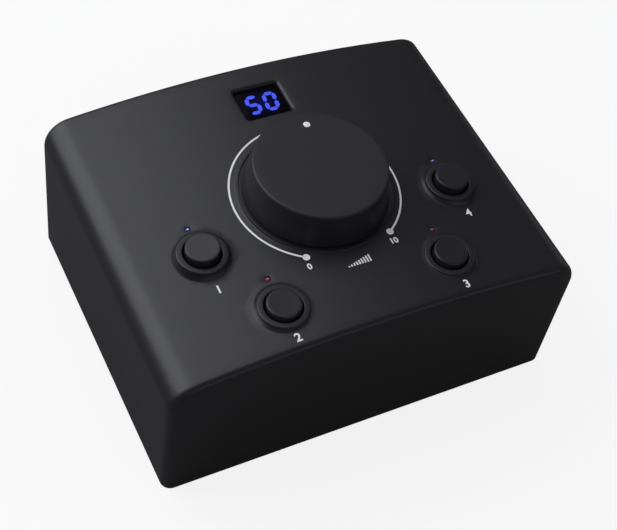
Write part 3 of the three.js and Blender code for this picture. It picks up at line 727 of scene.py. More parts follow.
def cover_rows():
    """Cross-sections from the front over the outside to the rear and back along the inside."""
    radii = [front_radius(column) for column in range(COLUMNS)]
    rounds = zip(*(quarter(radius, ROUND_STEPS) for radius in radii))
    front = [[(radius + EDGE_RADIUS, FRONT_Y) for radius in radii]]
    front += [[(left, FRONT_Y + gone) for gone, left in stations] for stations in rounds]
    far = REAR_Y - REAR_EDGE_RADIUS
    outside = [
        [(0.0, FRONT_Y + radius + (far - FRONT_Y - radius) * share) for radius in radii]
        for share in spread(0, 1, DEPTH_STEPS)[1:]
    ]
    rear = [(inset, REAR_Y - left) for inset, left in quarter(REAR_EDGE_RADIUS, ROUND_STEPS)]
    inner = [(WALL, y) for y in spread(REAR_Y - LIP_ROUND, FRONT_Y + WALL, DEPTH_STEPS)]
    plain = rear[1:] + [(WALL - LIP_ROUND, REAR_Y)] + inner
    rows = [mixed_row(stations) for stations in front + outside]
    rows += [case_row(inset, y) for inset, y in plain]
    outer_zone = (len(front) - 1, len(front) - 1 + DEPTH_STEPS)
    inner_zone = (len(rows) - 1 - DEPTH_STEPS, len(rows) - 1)
    return rows, outer_zone, inner_zone


def cover_shell(rows, zones):
    """Sides, shoulders and rims: all the rows but the crowned areas, which are made as patches."""
    points, faces = bridge(rows, closed=False)
    columns = len(rows[0])
    kept = []
    for index, face in enumerate(faces):
        row, column = divmod(index, columns - 1)
        in_crown = CROWN_FIRST <= column < CROWN_LAST
        if not (in_crown and any(first <= row < last for first, last in zones)):
            kept.append(face)
    return points, kept


def cover_caps(rows, outer_zone):
    """Front face, the inner side of the front wall and the lip round the bottom."""
    ends = [rows[0], rows[-1]]
    for end in (0, -1):
        ends.append([row[end] for row in rows[outer_zone[0]:]])
    near = rows[:outer_zone[0] + 1]
    left, right = [row[0] for row in near[::-1]], [row[-1] for row in near]
    ends.append(left + right + [rows[-1][-1], rows[-1][0]])
    return merge(*((end, [tuple(range(len(end)))]) for end in ends))


def zone_boundary(rows, zone):
    """Closed run of points round the crowned area of a zone."""
    first, last = zone
    near = rows[first][CROWN_FIRST:CROWN_LAST + 1]
    far = rows[last][CROWN_FIRST:CROWN_LAST + 1]
    right = [row[CROWN_LAST] for row in rows[first + 1:last]]
    left = [row[CROWN_FIRST] for row in rows[first + 1:last]]
    return near + right + far[::-1] + left[::-1]


def inside(outline):
    """Test whether a point lies inside a closed outline."""
    xs, ys = [p[0] for p in outline], [p[1] for p in outline]
    left, right, low, high = min(xs), max(xs), min(ys), max(ys)
    edges = list(zip(outline, outline[1:] + outline[:1]))

    def test(x, y):
        if not (left < x < right and low < y < high):
            return False
        crossings = sum(
            (a[1] > y) != (b[1] > y) and x < a[0] + (b[0] - a[0]) * (y - a[1]) / (b[1] - a[1])
            for a, b in edges
        )
        return crossings % 2 == 1

    return test


def patch(boundary, loops, openings, level, grid=GRID):
    """Fine surface inside a boundary. It runs through the points of the loops and the openings,
    is left out inside the openings, and level gives the height of every other point."""
    holes = [inside(opening) for opening in openings]
    points, edges = [], []
    for loop in [boundary] + loops + openings:
        start, count = len(points), len(loop)
        points += loop
        edges += [(start + k, start + (k + 1) % count) for k in range(count)]
    tree = kdtree.KDTree(len(points))
    for i, p in enumerate(points):
        tree.insert((p[0], p[1], 0), i)
    tree.balance()
    columns, rows = (
        spread(min(v), max(v), max(1, round((max(v) - min(v)) / grid)))[1:-1]
        for v in list(zip(*boundary))[:2]
    )
    for x in columns:
        for y in rows:
            clear = tree.find((x, y, 0))[2] > grid * GRID_DISTANCE_SHARE
            if clear and not any(hole(x, y) for hole in holes):
                points.append((x, y, level(x, y)))
    plan = [Vector(p[:2]) for p in points]
    found = geometry.delaunay_2d_cdt(plan, edges, [], 1, PATCH_TOLERANCE)
    made = [points[origin[0]] for origin in found[3]]
    faces = []
    for face in found[2]:
        x, y = (sum(made[i][axis] for i in face) / len(face) for axis in (0, 1))
        if not any(hole(x, y) for hole in holes):
            faces.append(tuple(face))
    return made, faces


def flat_face(boundary, outlines, level=0.0):
    """Flat face with openings."""
    rim, *openings = (on_level(outline, level) for outline in [boundary, *outlines])
    return patch(rim, [], openings, lambda x, y: level, FLAT_GRID)


def plate_part(rows, first_lines, last_lines):
    """Plate through those outlines, with openings in its first and in its last face."""
    ends = ((rows[0], first_lines), (rows[-1], last_lines))
    faces = [flat_face([p[:2] for p in row], lines, row[0][2]) for row, lines in ends]
    return merge(bridge(rows), *faces)


def collar_loops(x, y):
    """Rings of a button collar: its foot follows the crown and its top is level."""
    flank = [
        (COLLAR_FOOT - (COLLAR_FOOT - COLLAR_TOP) * share, share ** COLLAR_FLARE, 1.0)
        for share in spread(0, 1, 6)
    ]
    top = [(COLLAR_TOP - COLLAR_ROUND * inset, 1.0, sink) for inset, sink in quarter(1, 5)[1:]]
    loops = []
    for radius, share, sink in flank + top:
        loop = []
        for px, py in circle(radius, COLLAR_STEPS, x, y):
            rise = COLLAR_LEVEL - crown(px)
            rounding = min(COLLAR_ROUND, COLLAR_ROUND_SHARE * rise) * sink
            loop.append((px, py, crown(px) + (rise - rounding) * share))
        loops.append(loop)
    hole = [(2 * HOLE_ROUND, 0.0)]
    hole += [(left, sink) for sink, left in quarter(HOLE_ROUND, SMALL_ROUND_STEPS)]
    for grow, sink in hole:
        loops.append(ring(BUTTON_HOLE + grow, COLLAR_LEVEL - sink, COLLAR_STEPS, x, y))
    return loops


def light_loops(x, y):
    """Rings of the small dish round a status light."""
    return [on_crown(circle(radius, LENS_STEPS, x, y), -sink) for radius, sink in LIGHT_DISH]


def plateau_loops():
    """Rings of the level seat under the knob and of the groove round it, from the outside in."""
    groove = (
        (GROOVE_OUTER + GROOVE_EASE, 0.0), (GROOVE_OUTER + GROOVE_DRAFT, GROOVE_DRAFT),
        (GROOVE_OUTER, GROOVE_EASE), (GROOVE_OUTER - GROOVE_DRAFT, GROOVE_DEPTH),
        (GROOVE_INNER + GROOVE_DRAFT, GROOVE_DEPTH), (GROOVE_INNER, 0.0),
    )
    stations = [
        (PLATEAU_RADIUS + proud, lambda x, share=share: crown(x) + (PLATEAU_LEVEL - crown(x)) * share)
        for proud, share in PLATEAU_WALL
    ]
    stations += [(radius, PLATEAU_LEVEL - sink) for radius, sink in groove]
    return [ring(radius, level, SEAT_STEPS, 0, KNOB_Y) for radius, level in stations]


def display_loops():
    """Rings of the rounded rim of the display opening."""
    sizes = DISPLAY_WIDTH, DISPLAY_DEPTH, DISPLAY_CORNER
    return [
        on_crown(rounded_loop(*sizes, inset=-left, y=DISPLAY_Y), -sink)
        for sink, left in quarter(RIM_ROUND, 8)
    ]


def cover_mesh():
    rows, outer_zone, inner_zone = cover_rows()
    outer_loops, outer_holes, inner_holes, walls = [], [], [], []

    def open_through(loops, below=()):
        """Adds the rings round an opening, from the outside in, and the wall below its mouth."""
        mouth = loops[-1]
        below = below or [on_level(mouth, roof)]
        outer_loops.extend(loops[:-1])
        outer_holes.append(mouth)
        inner_holes.append(below[-1])
        walls.append(bridge([mouth, *below]))

    for _, x, y, *_ in BUTTONS:
        collar = collar_loops(x, y)
        guide = ring(GUIDE_RADIUS, roof, COLLAR_STEPS, x, y)
        open_through(collar, [on_level(loop, GUIDE_FOOT) for loop in (collar[-1], guide)] + [guide])
        open_through(light_loops(x, y + LIGHT_OFFSET))
    open_through(plateau_loops() + [ring(BUSHING_HOLE, PLATEAU_LEVEL, NARROW_STEPS, 0, KNOB_Y)])
    open_through(display_loops())

    def top_level(x, y):
        on_seat = math.hypot(x, y - KNOB_Y) < PLATEAU_RADIUS
        return PLATEAU_LEVEL if on_seat else crown(x)

    shell = cover_shell(rows, (outer_zone, inner_zone))
    caps = cover_caps(rows, outer_zone)
    top = patch(zone_boundary(rows, outer_zone), outer_loops, outer_holes, top_level)
    under = patch(zone_boundary(rows, inner_zone), [], inner_holes, lambda x, y: roof(x))
    return merge(shell, caps, top, under, *walls)


def make_cover():
    piece("cover_shell", cover_mesh(), "cover", nodes=["top_cover"])


# Knob and buttons

def knob_profile():
    foot = [
        (KNOB_BASE_RADIUS - left, KNOB_BASE + rise)
        for rise, left in quarter(KNOB_FOOT_ROUND, SMALL_ROUND_STEPS)
    ]
    ceiling = [
        (0.0, SHAFT_TOP), (SHAFT_RADIUS, SHAFT_TOP), (SHAFT_RADIUS, KNOB_CEILING),
        (KNOB_RECESS_RADIUS, KNOB_CEILING), (KNOB_RECESS_RADIUS, KNOB_BASE),
        (KNOB_BASE_RADIUS - 3 * KNOB_FOOT_ROUND, KNOB_BASE),
    ]
    top = edge_round(KNOB_TOP_RADIUS, KNOB_TOP, KNOB_ROUND, steps=8)
    flat = [KNOB_TOP_RADIUS - 2.5 * KNOB_ROUND, KNOB_TOP_RADIUS / 2, 0.0]
    return ceiling + foot + top + [(radius, KNOB_TOP) for radius in flat]


def make_knob():
    piece("knob_turned", revolve(knob_profile(), KNOB_STEPS, 0, KNOB_Y), "knob", "knob",
          nodes=["volume_knob"])


def make_pointer():
    low, high = KNOB_TOP - PRINT_SINK, KNOB_TOP + PRINT_PROUD
    disc = [
        (0.0, low), (POINTER_RADIUS, low), (POINTER_RADIUS, high - PRINT_PROUD / 2),
        (POINTER_RADIUS - PRINT_PROUD, high), (0.0, high),
    ]
    x = -POINTER_OFFSET * math.sin(POINTER_TURN)
    y = KNOB_Y + POINTER_OFFSET * math.cos(POINTER_TURN)
    piece("knob_pointer", revolve(disc, NARROW_STEPS, x, y), "print", "knob",
          nodes=["pointer_dot"])


def cap_profile(top):
    dish = [
        (CAP_RADIUS * share, top - CAP_DISH * (1 - (share / CAP_DISH_SHARE) ** 2))
        for share in spread(0, CAP_DISH_SHARE, 6)
    ]
    return dish + edge_round(CAP_RADIUS, top, CAP_ROUND)[::-1] + [
        (CAP_RADIUS, top - 2 * CAP_ROUND), (CAP_RADIUS, CAP_FLANGE_TOP),
        (CAP_FLANGE_RADIUS, CAP_FLANGE_TOP), (CAP_FLANGE_RADIUS, CAP_FLANGE_FOOT),
        (CAP_STEM_RADIUS, CAP_FLANGE_FOOT), (CAP_STEM_RADIUS, CAP_STEM_FOOT), (0.0, CAP_STEM_FOOT),
    ]


def make_buttons():
    for name, x, y, top, lean, _ in BUTTONS:
        points, faces = revolve(cap_profile(top), CAP_STEPS, x, y)
        slope = math.tan(math.radians(lean))
        points = [(px, py, pz - max(0.0, pz) / top * slope * (px - x)) for px, py, pz in points]
        piece("cap_" + name, (points, faces), "button", "button_" + name,
              nodes=["button_cap_" + name])


def domed_peg(radius, foot, level, dome, dome_steps, steps, x, y):
    """Upright peg whose domed end starts at that level."""
    end = [
        (radius * math.cos(a), level + dome * math.sin(a))
        for a in spread(0, math.pi / 2, dome_steps)[:-1]
    ]
    return revolve([(0.0, foot), (radius, foot), *end, (0.0, level + dome)], steps, x, y)


def make_lights():
    for name, x, button_y, _, _, glow in BUTTONS:
        slot = "light_blue" if name.endswith("outer") else "light_red"
        y, tip = button_y + LIGHT_OFFSET, crown(x)
        shapes = {
            "lens": domed_peg(
                LENS_RADIUS, LENS_FOOT, tip - LENS_SINK, LENS_DOME, ROUND_STEPS, LENS_STEPS, x, y,
            ),
            "core": domed_peg(
                CORE_RADIUS, tip - CORE_RADIUS, tip, CORE_DOME, SMALL_ROUND_STEPS, CORE_STEPS, x, y,
            ),
        }
        for kind, shape in shapes.items():
            colour, strength, base = LIGHTS[slot][kind]
            material = glowing(f"{kind}_light_{name}", colour, strength * glow, base)
            nodes = ["status_light_" + name] if kind == "lens" else ()
            piece(f"{kind}_{name}", shape, slot, nodes=nodes, material=material)


# Display

def make_window():
    width, depth = DISPLAY_WIDTH - 2 * WINDOW_GAP, DISPLAY_DEPTH - 2 * WINDOW_GAP
    levels = [(0.0, WINDOW_FOOT)]
    levels += [(inset, WINDOW_TOP - left) for inset, left in quarter(WINDOW_ROUND, SMALL_ROUND_STEPS)]
    loops = [
        on_level(rounded_loop(width, depth, DISPLAY_CORNER, inset, y=DISPLAY_Y), level)
        for inset, level in levels
    ]
    piece("window_pane", solid(loops), "window", nodes=["display_window"])


def segment(code):
    """Middle and direction of one bar of a digit, and half its length."""
    half_width = (DIGIT_WIDTH - DIGIT_STROKE) / 2
    half_height = (DIGIT_HEIGHT - DIGIT_STROKE) / 2
    level = {"a": 1, "g": 0, "d": -1}
    if code in level:
        return (0.0, level[code] * half_height), (1, 0), half_width
    side = 1 if code in "bc" else -1
    up = 1 if code in "bf" else -1
    return (side * half_width, up * half_height / 2), (0, 1), half_height / 2


def digit_bar(code, place):
    """One lit bar of a digit, pointed at both ends."""
    half = DIGIT_STROKE / 2
    (cx, cy), (dx, dy), reach = segment(code)
    reach -= DIGIT_GAP
    corners = ((reach, 0), (reach - half, half), (half - reach, half))
    outline = []
    for along, across in corners + tuple((-along, -across) for along, across in corners):
        x = cx + along * dx - across * dy
        y = cy + along * dy + across * dx
        outline.append((x + DIGIT_SLANT * y + place * DIGIT_PITCH, y + DISPLAY_Y))
    return solid([on_level(outline, WINDOW_TOP + lift) for lift in (-PRINT_SINK, PRINT_PROUD)])


def make_digits():
    """Lit characters just over the window."""
    bars = [
        digit_bar(code, place)
        for place, digit in ((-0.5, "5"), (0.5, "0")) for code in SEGMENTS[digit]
    ]
    piece("lit_digits", merge(*bars), "light_blue", material=glowing("digit_light", *DIGIT_LIGHT))


# White print on the panel

def print_strip(inner, outer):
    """Thin closed layer between two rows of plan points, lying on the crown."""
    low, high = -PRINT_SINK, PRINT_PROUD
    edges = ((inner, low), (inner, high), (outer, high), (outer, low))
    return solid(list(zip(*(on_crown(line, lift) for line, lift in edges))))


def print_dot(x, y, radius):
    edges = ((radius, -PRINT_SINK), (radius, PRINT_PROUD), (radius / 2, PRINT_PROUD))
    return solid([on_crown(circle(r, DOT_STEPS, x, y), lift) for r, lift in edges])


def make_ring():
    def at(radius, angle):
        return radius * math.cos(angle), KNOB_Y + radius * math.sin(angle)

    angles = spread(RING_MAX_ANGLE, RING_MIN_ANGLE, RING_STEPS)
    radii = (RING_RADIUS - RING_WIDTH / 2, RING_RADIUS + RING_WIDTH / 2)
    line = print_strip(*([at(radius, a) for a in angles] for radius in radii))
    dots = [
        print_dot(*at(RING_RADIUS, a), RING_DOT_RADIUS) for a in (RING_MAX_ANGLE, RING_MIN_ANGLE)
    ]
    piece("ring_print", merge(line, *dots), "print")


def text_mesh(body, size):
    """Points in millimetres and faces of a line of plain figures, centred on its own middle."""
    curve = bpy.data.curves.new("figures", "FONT")
    curve.body, curve.size, curve.offset = body, size, FIGURE_BOLD
    curve.align_x = curve.align_y = "CENTER"
    curve.extrude = (PRINT_PROUD + PRINT_SINK) / 2
    curve.resolution_u = 6
    holder = add_object("figures", curve)
    bpy.context.view_layer.update()
    graph = bpy.context.evaluated_depsgraph_get()
    mesh = bpy.data.meshes.new_from_object(holder.evaluated_get(graph))
    points = [tuple(v.co) for v in mesh.vertices]
    faces = [tuple(p.vertices) for p in mesh.polygons]
    bpy.data.objects.remove(holder)
    bpy.data.curves.remove(curve)
    bpy.data.meshes.remove(mesh)
    return points, faces


def wedge_bars():
    """A row of rising bars, the plain sign for more and less."""
    bars = []
    pitch = WEDGE_WIDTH / WEDGE_BARS
    foot = WEDGE_Y - WEDGE_HIGH / 2
    for k, height in enumerate(spread(WEDGE_LOW, WEDGE_HIGH, WEDGE_BARS - 1)):
        x = WEDGE_X - WEDGE_WIDTH / 2 + k * pitch
        near = [(x, foot), (x + pitch * WEDGE_BAR_SHARE, foot)]
        bars.append(print_strip(near, shifted(near, 0.0, height)))
    return bars


def make_figures():
    parts = wedge_bars()
    middle = (PRINT_PROUD - PRINT_SINK) / 2
    for body, size, x, y in FIGURES:
        points, faces = text_mesh(body, size)
        points = [(x + px, y + py, crown(x + px) + middle + pz) for px, py, pz in points]
        parts.append((points, faces))
    piece("figure_print", merge(*parts), "print", weld=TEXT_WELD)


# Rear panel and its sockets

def to_rear(part, x, z, y=0.0):
    """Turns a part made about an upright axis so that its axis points to the rear."""
    points, faces = part
    return [(x - px, y + level, z + py) for px, py, level in points], faces


def rear_piece(name, part, slot, x, z, y=0.0, **more):
    piece(name, to_rear(part, x, z, y), slot, place=CASE, **more)


def rear_holes():
    """Outline of each hole of the rear panel, as x and z."""
    inlet = rounded_loop(INLET_HOLE_WIDTH, INLET_HOLE_HEIGHT, INLET_HOLE_CORNER, 0.0, INLET_X, INLET_AXIS)
    aux = circle(AUX_HOLE_RADIUS, WIDE_STEPS, AUX_X, AUX_AXIS)
    return [circle(JACK_HOLE_RADIUS, WIDE_STEPS, x, JACK_AXIS) for x in JACKS.values()] + [aux, inlet]


def make_rear_plate():
    inset, foot = WALL + PLATE_GAP, CASE_BOTTOM + BASE_THICKNESS
    inner_y = REAR_PLATE_Y - REAR_PLATE_THICKNESS
    rounded = quarter(PLATE_ROUND, SMALL_ROUND_STEPS)
    stations = [(inset + left, REAR_PLATE_Y - gone) for gone, left in rounded] + [(inset, inner_y)]
    rows = [on_level(case_section(grow, y, foot), y) for grow, y in stations]
    outlines = rear_holes()
    walls = [bridge([on_level(line, y) for y in (REAR_PLATE_Y, inner_y)]) for line in outlines]
    points, faces = merge(plate_part(rows, outlines, outlines), *walls)
    points = [(x, y, z) for x, z, y in points]
    piece("rear_plate", (points, faces), "rear", nodes=["rear_panel"], place=CASE)


def thread_rows(radius, first, last):
    """Ridges between two levels, as (radius, level)."""
    rows = []
    for level in spread(first, last, round((last - first) / THREAD_PITCH))[:-1]:
        rows += [(radius, level), (radius - THREAD_DEPTH, level + THREAD_PITCH / 2)]
    return rows + [(radius, last)]


def nose_rows(radius, body, end):
    """Threaded nose of a socket, from the outer end of its body."""
    return [(radius, body[-1])] + thread_rows(radius, REAR_PLATE_Y - THREAD_SINK, end)


def socket_part(body, axis, rows):
    """Moulded block with soft edges, whose front runs on through round rows of (radius, level)."""
    width, low, high, inner_end, outer_end = body
    middle = (low + high) / 2 - axis
    stations = (
        (SOCKET_EDGE, inner_end), (0.0, inner_end + SOCKET_EDGE),
        (0.0, outer_end - SOCKET_EDGE), (SOCKET_EDGE, outer_end),
    )
    loops = []
    for inset, y in stations:
        outline = rounded_loop(width, high - low, SOCKET_CORNER, inset, 0.0, middle, sides=16, corner=3)
        loops.append(on_level(outline, y))
    spokes = [(px / math.hypot(px, py), py / math.hypot(px, py)) for px, py, _ in loops[-1]]
    loops += [[(px * radius, py * radius, y) for px, py in spokes] for radius, y in rows]
    return solid(loops)


def nut_part():
    """Hexagon nut with coned corners on both faces."""
    gain = 1 / math.tan(NUT_CONE)
    stations = [(depth, depth) for depth in NUT_CONE_DEPTHS]
    stations += [(depth, NUT_HEIGHT - depth) for depth in reversed(NUT_CONE_DEPTHS)]
    loops = []
    for depth, level in stations:
        loop = []
        for a in spread(0, 2 * math.pi, CAP_STEPS)[:-1]:
            off = (a + math.pi / 6) % (math.pi / 3) - math.pi / 6
            radius = min(NUT_FLAT / math.cos(off), NUT_FLAT * NUT_FACE_SHARE + depth * gain)
            loop.append((radius * math.cos(a), radius * math.sin(a), level))
        loops.append(loop)
    bore = (
        (NUT_BORE + NUT_BORE_BEVEL, NUT_HEIGHT), (NUT_BORE, NUT_HEIGHT - NUT_BORE_BEVEL),
        (NUT_BORE, NUT_BORE_BEVEL), (NUT_BORE + NUT_BORE_BEVEL, 0.0),
    )
    loops += [ring(radius, level, CAP_STEPS) for radius, level in bore]
    return bridge(loops + [loops[0]])


def leaf_part(reach, length):
    """Bent leaf spring that stands into a bore from below, along the upright axis."""
    half = LEAF_WIDTH / 2
    section = ((-half, 0), (half, 0), (half, LEAF_THICKNESS), (-half, LEAF_THICKNESS))
    loops = []
    for share in spread(0, 1, LEAF_STEPS):
        lift = -reach + LEAF_LIFT * math.sin(math.pi * share) ** 2
        loops.append([(x, lift + y, share * length) for x, y in section])
    return solid(loops)


def jack_rows():
    """Threaded nose of a large socket, its mouth with the seat of the sleeve, and its bore."""
    nose, radius, seat = JACK_NOSE_Y, JACK_NOSE_RADIUS, SLEEVE_RADIUS + SLEEVE_GAP
    seat_end = nose - SLEEVE_LENGTH
    inset, drop = JACK_NOSE_BREAK
    return nose_rows(radius, JACK_BODY, nose - JACK_THREAD_END) + [
        (radius - inset, nose - drop), (radius - JACK_NOSE_BEVEL, nose),
        (seat + BEVEL, nose), (seat, nose - BEVEL), (seat, seat_end),
        (JACK_BORE_RADIUS, seat_end), (JACK_BORE_RADIUS, nose - JACK_BORE_DEPTH),
    ]


def sleeve_part():
    """Metal sleeve in the mouth of a large socket."""
    low, high = JACK_NOSE_Y - SLEEVE_LENGTH, JACK_NOSE_Y - SLEEVE_SINK
    bore, (width, depth) = JACK_BORE_RADIUS, SLEEVE_MOUTH
    profile = [
        (bore, low), (SLEEVE_RADIUS, low), (SLEEVE_RADIUS, high - BEVEL),
        (SLEEVE_RADIUS - BEVEL, high), (bore + width, high), (bore + BEVEL, high - BEVEL),
        (bore, high - depth), (bore, low),
    ]
    return revolve(profile, WIDE_STEPS)


def make_jacks():
    shape = socket_part(JACK_BODY, JACK_AXIS, jack_rows())
    leaf_y = JACK_NOSE_Y - JACK_BORE_DEPTH + JACK_LEAF_FOOT
    for name, x in JACKS.items():
        rear_piece("body_" + name, shape, "socket", x, JACK_AXIS, nodes=[name])
        rear_piece("sleeve_" + name, sleeve_part(), "nut", x, JACK_AXIS)
        rear_piece("nut_" + name, nut_part(), "nut", x, JACK_AXIS, NUT_NEAR_Y,
                   nodes=[name + "_nut"], sharp=FINE_ANGLE)
        leaf = leaf_part(JACK_BORE_RADIUS, JACK_LEAF_LENGTH)
        rear_piece("spring_" + name, leaf, "nut", x, JACK_AXIS, leaf_y)


def make_aux():
    nose, radius, bore = AUX_NOSE_Y, AUX_NOSE_RADIUS, AUX_BORE_RADIUS
    rows = nose_rows(radius, AUX_BODY, nose - AUX_THREAD_END) + [
        (radius - AUX_NOSE_BEVEL, nose), (bore + AUX_BORE_BEVEL, nose),
        (bore, nose - AUX_BORE_BEVEL), (bore, nose - AUX_BORE_DEPTH),
    ]
    shape = socket_part(AUX_BODY, AUX_AXIS, rows)
    rear_piece("body_aux_input", shape, "socket", AUX_X, AUX_AXIS, nodes=["aux_input"])


def notched_loop(radius, level, notch):
    """Circle with every other point set in by the depth of a notch."""
    loop = []
    for k, a in enumerate(spread(0, 2 * math.pi, 2 * AUX_RING_NOTCHES)[:-1]):
        reach = radius - notch * (k % 2)
        loop.append((reach * math.cos(a), reach * math.sin(a), level))
    return loop


def make_aux_ring():
    """Knurled ring nut of the small socket."""
    near, far = REAR_PLATE_Y + PLATE_GAP, AUX_RING_Y
    profile = (
        (AUX_NOSE_RADIUS, near, 0.0), (AUX_RING_RADIUS, near, AUX_RING_NOTCH),
        (AUX_RING_RADIUS, far - AUX_RING_BEVEL, AUX_RING_NOTCH),
        (AUX_RING_RADIUS - AUX_RING_BEVEL, far, 0.0), (AUX_NOSE_RADIUS + AUX_RING_EASE, far, 0.0),
        (AUX_NOSE_RADIUS, far - AUX_RING_EASE, 0.0), (AUX_NOSE_RADIUS, near, 0.0),
    )
    shape = bridge([notched_loop(*station) for station in profile])
    rear_piece("ring_nut_aux_input", shape, "nut", AUX_X, AUX_AXIS, sharp=FINE_ANGLE)


def make_inlet():
    face = INLET_BODY[-1]
    foot = face - INLET_BORE_DEPTH
    rows = [
        (INLET_BORE_RADIUS + INLET_BORE_BEVEL, face), (INLET_BORE_RADIUS, face - INLET_BORE_BEVEL),
        (INLET_BORE_RADIUS, foot),
    ]
    shape = socket_part(INLET_BODY, INLET_AXIS, rows)
    rear_piece("body_power_inlet", shape, "socket", INLET_X, INLET_AXIS, nodes=["power_inlet"])
    profile = [(0.0, INLET_PIN_FOOT), (INLET_PIN_RADIUS, INLET_PIN_FOOT)]
    profile += edge_round(INLET_PIN_RADIUS, INLET_PIN_REACH, INLET_PIN_ROUND)
    pin = revolve(profile + [(0.0, INLET_PIN_REACH)], PIN_STEPS)
    rear_piece("pin_power_inlet", pin, "nut", INLET_X, INLET_AXIS, foot)
    leaf = leaf_part(INLET_BORE_RADIUS, INLET_LEAF_LENGTH)
    rear_piece("spring_power_inlet", leaf, "nut", INLET_X, INLET_AXIS, foot + INLET_LEAF_FOOT)


def make_rear_figures():
    """Plain numbers over the sockets."""
    y = REAR_PLATE_Y + (PRINT_PROUD - PRINT_SINK) / 2
    parts = [
        to_rear(text_mesh(str(k), REAR_FIGURE_SIZE), x, REAR_FIGURE_Z, y)
        for k, x in enumerate([*JACKS.values(), AUX_X], start=1)
    ]
    piece("rear_figure_print", merge(*parts), "print", place=CASE, weld=TEXT_WELD)


# Base, feet and screws

def base_rows():
    """Outlines of the base from its rounded lower edge to its top."""
    inset = WALL + PLATE_GAP
    near = FRONT_Y + inset
    sizes = CASE_WIDTH - 2 * inset, REAR_PLATE_Y - near, BASE_CORNER
    rounded = quarter(PLATE_ROUND, SMALL_ROUND_STEPS)
    stations = [(left, CASE_BOTTOM + rise) for rise, left in rounded]
    return [
        on_level(rounded_loop(*sizes, shrink, y=(REAR_PLATE_Y + near) / 2), level)
        for shrink, level in stations + [(0.0, CASE_BOTTOM + BASE_THICKNESS)]
    ]


def make_base():
    """Plate with recesses for the feet, countersunk holes and the pillars of the board."""
    low, high = CASE_BOTTOM, CASE_BOTTOM + BASE_THICKNESS
    bore, head = SCREW_RADIUS + SCREW_HOLE_GAP, SCREW_HEAD_RADIUS + SCREW_HOLE_GAP
    sink = low + SCREW_HEAD_HEIGHT + SCREW_HOLE_GAP
    parts, under_lines, top_lines = [], [], []
    recess = [(FOOT_HOLE_RADIUS, low), (FOOT_HOLE_RADIUS, FOOT_HEIGHT), (0.0, FOOT_HEIGHT)]
    for x, y in FOOT_PLACES.values():
        under_lines.append(circle(FOOT_HOLE_RADIUS, WIDE_STEPS, x, y))
        parts.append(revolve(recess, WIDE_STEPS, x, y))
    for x, y in SCREW_PLACES.values():
        under_lines.append(circle(head, NARROW_STEPS, x, y))
        top_lines.append(circle(bore, NARROW_STEPS, x, y))
        parts.append(revolve([(head, low), (bore, sink), (bore, high)], NARROW_STEPS, x, y))
    for x, y, bored in PILLAR_PLACES:
        top_lines.append(circle(PILLAR_RADIUS, NARROW_STEPS, x, y))
        profile = [(PILLAR_RADIUS, high), (PILLAR_RADIUS, PILLAR_TOP)]
        if bored:
            profile += [(bore, PILLAR_TOP), (bore, PILLAR_BORE_FOOT)]
        profile.append((0.0, profile[-1][1]))
        parts.append(revolve(profile, NARROW_STEPS, x, y))
    shape = merge(plate_part(base_rows(), under_lines, top_lines), *parts)
    piece("base_tray", shape, "base", nodes=["base_plate"], place=CASE)


def make_feet():
    sole = [(FOOT_RADIUS - left, rise) for rise, left in quarter(FOOT_ROUND, 5)]
    profile = [*FOOT_HOLLOW, *sole, (FOOT_RADIUS, FOOT_HEIGHT), (0.0, FOOT_HEIGHT)]
    for name, (x, y) in FOOT_PLACES.items():
        piece("pad_" + name, revolve(profile, WIDE_STEPS, x, y), "feet",
              nodes=["foot_" + name], place=CASE)


def cross_loop(x, y, arm, half):
    """Outline of the cross recess of a screw."""
    quadrant = ((arm, half), (half, half), (half, arm))
    turned = []
    for sx, sy in QUARTERS:
        corners = [(x + sx * px, y + sy * py) for px, py in quadrant]
        turned += corners if sx == sy else corners[::-1]
    return turned[1:] + turned[:1]


def make_screws():
    low, (inset, rise) = CASE_BOTTOM, SCREW_HEAD_BREAK
    rim, neck = SCREW_HEAD_RADIUS - inset, low + SCREW_HEAD_HEIGHT
    shank = [(rim, low), (SCREW_HEAD_RADIUS, low + rise), (SCREW_RADIUS, neck)]
    shank += thread_rows(SCREW_RADIUS, neck + SCREW_NECK, low + SCREW_LENGTH - SCREW_RADIUS)
    shank.append((0.0, low + SCREW_LENGTH))
    arm_share, half_share = CROSS_FLOOR_SHARES
    for name, (x, y) in SCREW_PLACES.items():
        mouth = cross_loop(x, y, CROSS_ARM, CROSS_HALF)
        floor = cross_loop(x, y, CROSS_ARM * arm_share, CROSS_HALF * half_share)
        head = flat_face(circle(rim, NARROW_STEPS, x, y), [mouth], low)
        recess = bridge([on_level(mouth, low), on_level(floor, low + CROSS_DEPTH)])
        recess[1].append(tuple(range(len(mouth), 2 * len(mouth))))
        shape = merge(revolve(shank, NARROW_STEPS, x, y), head, recess)
        piece("fastener_" + name, shape, "screws", nodes=["base_screw_" + name], place=CASE)


def finish_nodes():
    """Gives the CAD pieces that stay visible the finish of their slot."""
    for part in frame["record"]["subparts"]:
        material = FINISH.get(part["material_slot"])
        node = frame["nodes"][part["node"]]
        if material and not node.hide_render:
            node.data.materials.clear()
            node.data.materials.append(material)


# Stage, light and camera

def add_math(tree, operation, first, second):
    return add_node(tree, "Math", {0: first, 1: second}, operation=operation).outputs["Value"]


def background_share(tree, seen_share, mirrored_share):
    """Share of the plain white background that a ray sees: the camera sees the first share, and
    glossy and transmitted rays the second."""
    path = add_node(tree, "LightPath").outputs
    mirrored = add_math(tree, "MAXIMUM", path["Is Glossy Ray"], path["Is Transmission Ray"])
    dimmed = add_math(tree, "MULTIPLY", mirrored, mirrored_share)
    seen = add_math(tree, "MULTIPLY", path["Is Camera Ray"], seen_share)
    return add_math(tree, "MAXIMUM", seen, dimmed)


